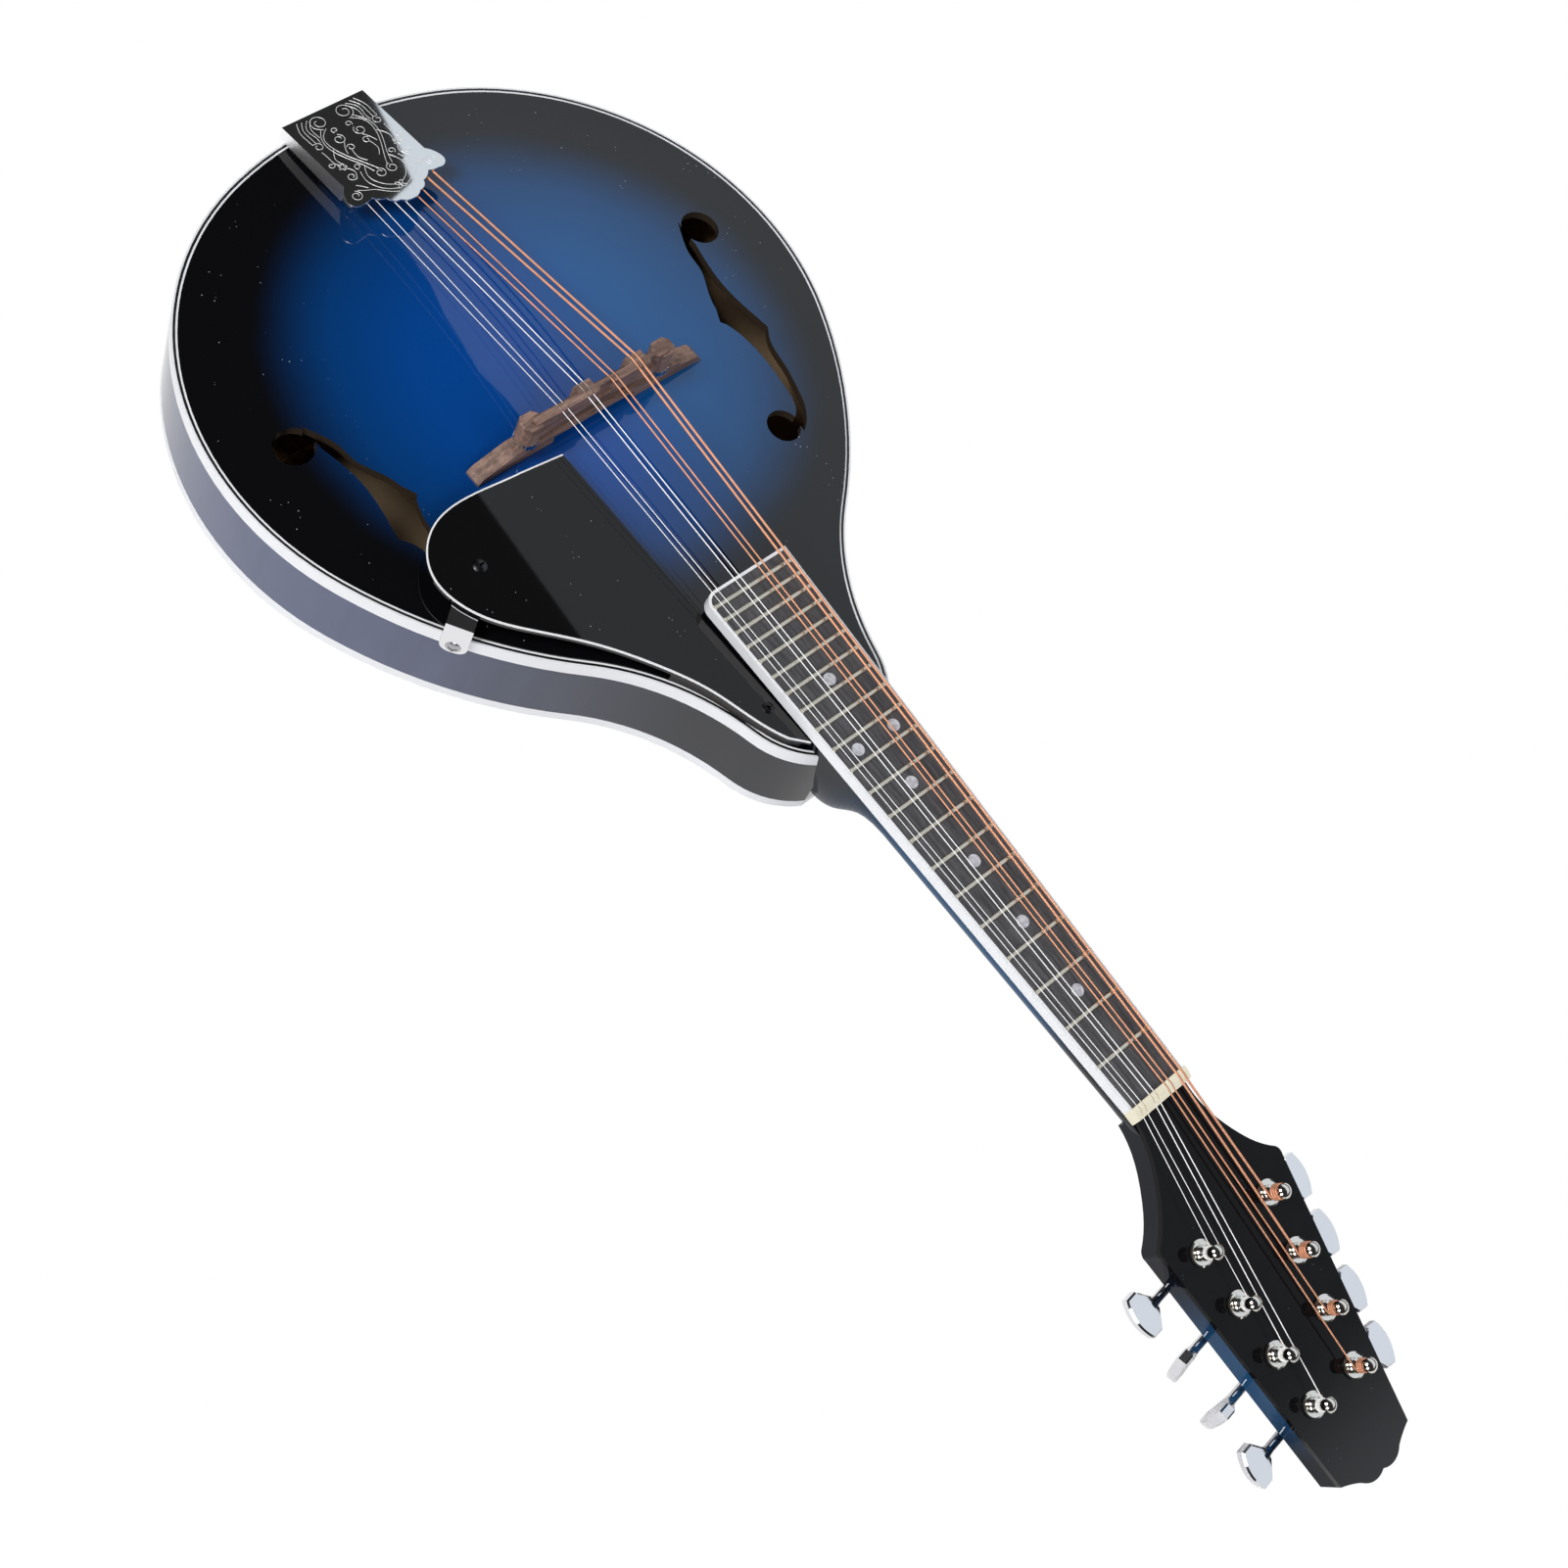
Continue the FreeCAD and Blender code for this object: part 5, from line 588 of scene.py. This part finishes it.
bright_steel = Finish("screw_steel", base_color=(0.42, 0.42, 0.44), metallic=1.0)
bright_steel.uneven(0.22, 0.08, 400.0)
dark_steel = Finish("screw_dark", base_color=(0.05, 0.05, 0.055), metallic=1.0)
dark_steel.uneven(0.30, 0.08, 400.0)
bracket_head = cross_screw("bracket_screw_head", Vector((0.0571507, -0.1059817, -0.0050)),
                           SIDE_OUT, 0.0050, 0.0032)
finish_screw(bracket_head, bright_steel, "bracket_screw")
guard_heads = [
    cross_screw("pickguard_screw_heads", Vector((0.0410857, -0.0838848, 0.0122975)), GUARD_UP,
                0.0060, 0.0030),
    cross_screw("second_head", Vector((0.1475954, -0.0255972, 0.0065555)), GUARD_UP,
                0.0060, 0.0026),
]
bpy.ops.object.select_all(action="DESELECT")
for head in guard_heads:
    head.select_set(True)
bpy.context.view_layer.objects.active = guard_heads[0]
bpy.ops.object.join()
finish_screw(guard_heads[0], dark_steel, "pickguard_screws")

# %% [markdown]
# ## Engraving on the tail cover
# The stamped cover carries leafy scrolls, which a press makes as fine ridges in the metal.
# Here they are simpler: spirals by formula and stems through a few points, each drawn once on
# the bass half and once mirrored, with one flower on each half and a knot at the front. Every
# ridge is a thin curve on the cover's two slopes, half sunk, so only a hair of round metal
# stands up and catches the lamps.

# %% Engraved scrolls
COVER_REAR_X = -0.1637047
ROOF_LENGTH = 0.0393
ROOF_REAR = 0.0080
ROOF_FRONT = 0.0140
LIP_RISE_SHARE = 0.095
RIDGE_RADIUS = 0.00013

MILLIMETRE = 0.001

SPIRALS = (
    # centre along and across in millimetres, outer and inner radius, start angle, turns
    (5.6, 6.4, 4.2, 1.2, 10, 1.45),
    (16.4, 15.0, 2.2, 0.8, 150, 1.1),
    (17.2, 5.2, 2.7, 0.9, 200, 1.25),
    (23.2, 4.0, 1.8, 0.7, 120, 1.0),
    (12.2, 3.6, 1.5, 0.6, 40, 1.0),
    (40.6, 2.9, 2.5, 0.9, 180, 1.2),
    (36.4, 14.2, 2.1, 0.8, 300, 1.1),
    (45.6, 19.1, 2.6, 0.9, 200, 1.3),
    (27.4, 17.2, 1.5, 0.6, 250, 1.0),
    (33.2, 8.6, 1.6, 0.6, 20, 1.0),
)
STEMS = (
    # points along and across in millimetres
    ((9.8, 6.0), (11.5, 9.0), (15.5, 11.2), (21.0, 10.6), (27.0, 8.2), (33.0, 4.8), (38.2, 2.2)),
    ((9.2, 8.2), (12.0, 10.6), (16.5, 12.4), (22.0, 11.8), (28.0, 9.2), (33.6, 6.0), (38.6, 4.6)),
    ((2.4, 9.8), (4.6, 12.6), (8.6, 13.4), (12.4, 12.2), (15.0, 12.9)),
    ((2.0, 12.2), (5.4, 14.8), (10.0, 14.8), (14.4, 14.6)),
    ((1.6, 14.4), (6.0, 16.8), (11.0, 16.6), (14.6, 16.4)),
    ((3.2, 8.8), (5.6, 11.2), (9.4, 11.8), (12.6, 11.2)),
    ((19.6, 15.8), (23.6, 15.4), (27.4, 15.9), (29.2, 14.0)),
    ((20.8, 11.0), (24.0, 13.4), (27.0, 14.0), (29.6, 12.6)),
    ((31.6, 13.0), (33.6, 11.2), (36.6, 11.6), (38.6, 13.4)),
    ((34.4, 6.2), (38.0, 8.4), (41.2, 8.6), (44.6, 7.0), (47.6, 4.0), (48.6, 1.6)),
    ((36.0, 9.6), (39.4, 10.8), (43.0, 10.6), (46.8, 8.4), (49.6, 5.2), (50.8, 2.0)),
    ((43.4, 17.0), (45.2, 14.2), (46.2, 11.0), (48.6, 8.2), (51.0, 5.6), (52.4, 2.6)),
    ((41.0, 15.8), (42.8, 13.6), (44.6, 12.4)),
    ((24.6, 4.6), (28.0, 5.4), (30.6, 4.6), (32.4, 3.0)),
    ((19.8, 4.6), (22.4, 6.8), (25.6, 7.4)),
)
FLOWER = (30.2, 14.0, 1.9)
PETALS = 5
KNOT_PLACE = (49.5, 0.0)
KNOT_RADIUS = 2.3
SPIRAL_STEPS = 12
PETAL_STEPS = 8
KNOT_STEPS = 48


def on_cover(along, across):
    """A point of the cover's upper face, from millimetres along and across it."""
    u = along * MILLIMETRE
    if u < ROOF_LENGTH:
        z = ROOF_REAR + u * (ROOF_FRONT - ROOF_REAR) / ROOF_LENGTH
    else:
        z = ROOF_FRONT + (u - ROOF_LENGTH) * LIP_RISE_SHARE
    return body_frame @ Vector((COVER_REAR_X + u, across * MILLIMETRE, z))


def spiral(cx, cy, outer, inner, start, turns):
    """The points of a spiral, from its outer end to its eye."""
    steps = int(turns * SPIRAL_STEPS)
    points = []
    for k in range(steps + 1):
        share = k / steps
        radius = outer * (1 - share) ** 0.8 + inner * share
        angle = math.radians(start) + turns * 2 * math.pi * share
        points.append((cx + radius * math.cos(angle), cy + radius * math.sin(angle)))
    return points


def petals(cx, cy, radius):
    """The wavy rim of a small flower, closed on itself."""
    steps = PETALS * PETAL_STEPS
    rim = []
    for k in range(steps + 1):
        angle = 2 * math.pi * k / steps
        reach = radius * (0.72 + 0.28 * math.cos(PETALS * angle))
        rim.append((cx + reach * math.cos(angle), cy + reach * math.sin(angle)))
    return rim


def bow_knot(cx, cy, radius):
    """A knot of four loops, closed on itself."""
    points = []
    for k in range(KNOT_STEPS + 1):
        angle = 2 * math.pi * k / KNOT_STEPS
        reach = radius * math.sin(2 * angle)
        points.append((cx + reach * math.cos(angle), cy + reach * math.sin(angle)))
    return points


def ridge_curve(strokes):
    """One curve object with a round section that follows many strokes."""
    data = bpy.data.curves.new("cover_scrolls", "CURVE")
    data.dimensions = "3D"
    data.bevel_depth = RIDGE_RADIUS
    data.bevel_resolution = 1
    data.resolution_u = 3
    data.use_fill_caps = True
    for points in strokes:
        spline = data.splines.new("NURBS")
        spline.points.add(len(points) - 1)
        for point, (along, across) in zip(spline.points, points):
            point.co = (*on_cover(along, across), 1.0)
        spline.order_u = 3
        spline.use_endpoint_u = True
    return bpy.data.objects.new("cover_scrolls", data)


half = [spiral(*values) for values in SPIRALS] + [list(points) for points in STEMS]
half.append(petals(*FLOWER))
strokes = half + [[(x, -y) for x, y in points] for points in half]
strokes.append(bow_knot(*KNOT_PLACE, KNOT_RADIUS))
scrolls = ridge_curve(strokes)
bpy.context.scene.collection.objects.link(scrolls)
bpy.ops.object.select_all(action="DESELECT")
scrolls.select_set(True)
bpy.context.view_layer.objects.active = scrolls
bpy.ops.object.convert(target="MESH")
scrolls = bpy.context.active_object
bpy.ops.object.shade_smooth()
engraving = Finish("cover_scrolls", base_color=(0.95, 0.95, 0.96), metallic=0.35)
engraving.uneven(0.32, 0.08, 300.0)
scrolls.data.materials.clear()
scrolls.data.materials.append(engraving.material)
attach(scrolls, "tail_cover")
print("scroll strokes:", len(strokes), "faces:", len(scrolls.data.polygons))

# %% [markdown]
# ## Camera
# The picture was taken from the treble side, above the body, with a long lens. The place and
# turn were worked out from the frets and the outline.

# %% Camera
CAMERA_PLACE = (0.16241846, -0.56568516, 0.96019994)
CAMERA_TURN = (0.46090021, -0.31000518, 0.84489548)
CAMERA_LENS = 63.860146
CAMERA_SENSOR = 36.0

camera_data = bpy.data.cameras.new("camera")
camera_data.lens = CAMERA_LENS
camera_data.sensor_width = CAMERA_SENSOR
camera_data.dof.use_dof = False
camera = bpy.data.objects.new("camera", camera_data)
camera.location = CAMERA_PLACE
camera.rotation_euler = CAMERA_TURN
bpy.context.scene.collection.objects.link(camera)
bpy.context.scene.camera = camera
print("camera at", CAMERA_PLACE)

# %% [markdown]
# ## Floor, cards and lamps
# The studio is white, but a black lacquer shows what stands above it: a dark room with a white
# card on the bass side, whose near edge draws a line across the top. That edge is bent, so the
# card is hung as eight strips side by side. Only gloss sees them, neither the camera nor the
# soft light. The floor shines white for the camera, and for gloss only up to the head, so that
# the head's face stays dark.

# %% Studio
CARD_HEIGHT = 1.2
CARD_FAR_Y = 3.2
CARD_STRENGTH = 0.87
CARD_COLOUR = (0.93, 1.00, 1.07)
CARD_EDGE = (
    (-2.4, 1.32), (-1.60, 1.000), (-1.285, 0.868), (-1.262, 0.790), (-0.928, 0.646),
    (-0.729, 0.574), (-0.400, 0.556), (0.700, 0.490), (2.600, 0.400),
)
FLOOR_HALF = 15
SKY_GREY = (0.5, 0.5, 0.5, 1)
SKY_STRENGTH = 0.06
LAMPS = (
    # name, place, target, size, power in watts, whether gloss shows it
    ("key_lamp", (-0.6, -1.2, 1.6), (0, 0, 0), 0.8, 30, True),
    ("fill_lamp", (1.2, 0.6, 1.4), (0.1, 0, 0), 1.2, 14, False),
    ("bass_lamp", (0.2, 1.8, 0.7), (0, 0, 0.04), 1.0, 12, False),
    ("front_lamp", (0.9, -1.5, 0.9), (0.05, -0.05, 0.02), 0.7, 12, True),
)


def sheet(name, corners):
    """A flat four-sided piece of the studio, made from a plane whose corners are moved."""
    bpy.ops.object.select_all(action="DESELECT")
    bpy.ops.mesh.primitive_plane_add(size=1.0)
    piece = bpy.context.active_object
    piece.name = name
    piece.data.name = name
    for vertex, corner in zip(piece.data.vertices, corners):
        vertex.co = corner
    return piece


def glow(name, colour, strength):
    """A material that shines evenly."""
    finish = Finish(name)
    lamp = finish.node("ShaderNodeEmission", Color=colour, Strength=strength)
    finish.tree.links.new(lamp.socket, finish.tree.nodes["Material Output"].inputs["Surface"])
    return finish.material


def hang_card(number, near, far):
    """One strip of the card, from its near edge straight on to the bass side."""
    (x0, y0), (x1, y1) = near, far
    corners = [(x0, y0), (x1, y1), (x0, CARD_FAR_Y), (x1, CARD_FAR_Y)]
    piece = sheet("card_%d" % number, [(x, y, CARD_HEIGHT) for x, y in corners])
    piece.data.materials.append(card_glow)
    piece.visible_diffuse = False
    piece.visible_camera = False


floor = sheet("floor", [(x, y, 0) for y in (-FLOOR_HALF, FLOOR_HALF)
                        for x in (-FLOOR_HALF, FLOOR_HALF)])
paper = Finish("paper", base_color=(0.9, 0.9, 0.9), roughness=0.9)
ray = paper.tree.nodes.new("ShaderNodeLightPath")
white = paper.node("ShaderNodeEmission", Color=(1, 1, 1), Strength=1.0)
floor_x = paper.parts(paper.place)[0]
by_camera = Wire(paper.tree, ray.outputs["Is Camera Ray"])
by_gloss = Wire(paper.tree, ray.outputs["Is Glossy Ray"])
seen = by_camera.largest(by_gloss * paper.smooth(floor_x, 0.30, 0.22))
blend = paper.tree.nodes.new("ShaderNodeMixShader")
paper.tree.links.new(seen.socket, blend.inputs[0])
paper.tree.links.new(paper.shader.outputs[0], blend.inputs[1])
paper.tree.links.new(white.socket, blend.inputs[2])
paper.tree.links.new(blend.outputs[0], paper.tree.nodes["Material Output"].inputs["Surface"])
floor.data.materials.append(paper.material)
card_glow = glow("card_glow", CARD_COLOUR, CARD_STRENGTH)
for number, (near, far) in enumerate(zip(CARD_EDGE, CARD_EDGE[1:])):
    hang_card(number + 1, near, far)


def lamp(name, place, target, size, power, mirrored):
    """A soft square lamp turned towards a point. Only a mirrored one shows in gloss."""
    data = bpy.data.lights.new(name, "AREA")
    data.size = size
    data.energy = power
    item = bpy.data.objects.new(name, data)
    item.location = place
    item.rotation_euler = (Vector(target) - Vector(place)).to_track_quat("-Z", "Y").to_euler()
    bpy.context.scene.collection.objects.link(item)
    item.visible_glossy = mirrored


for values in LAMPS:
    lamp(*values)

world = bpy.data.worlds.new("world")
world.use_nodes = True
sky = world.node_tree.nodes["Background"]
sky.inputs["Color"].default_value = SKY_GREY
sky.inputs["Strength"].default_value = SKY_STRENGTH
bpy.context.scene.world = world
bpy.context.scene.view_settings.view_transform = "Standard"
print("studio ready")
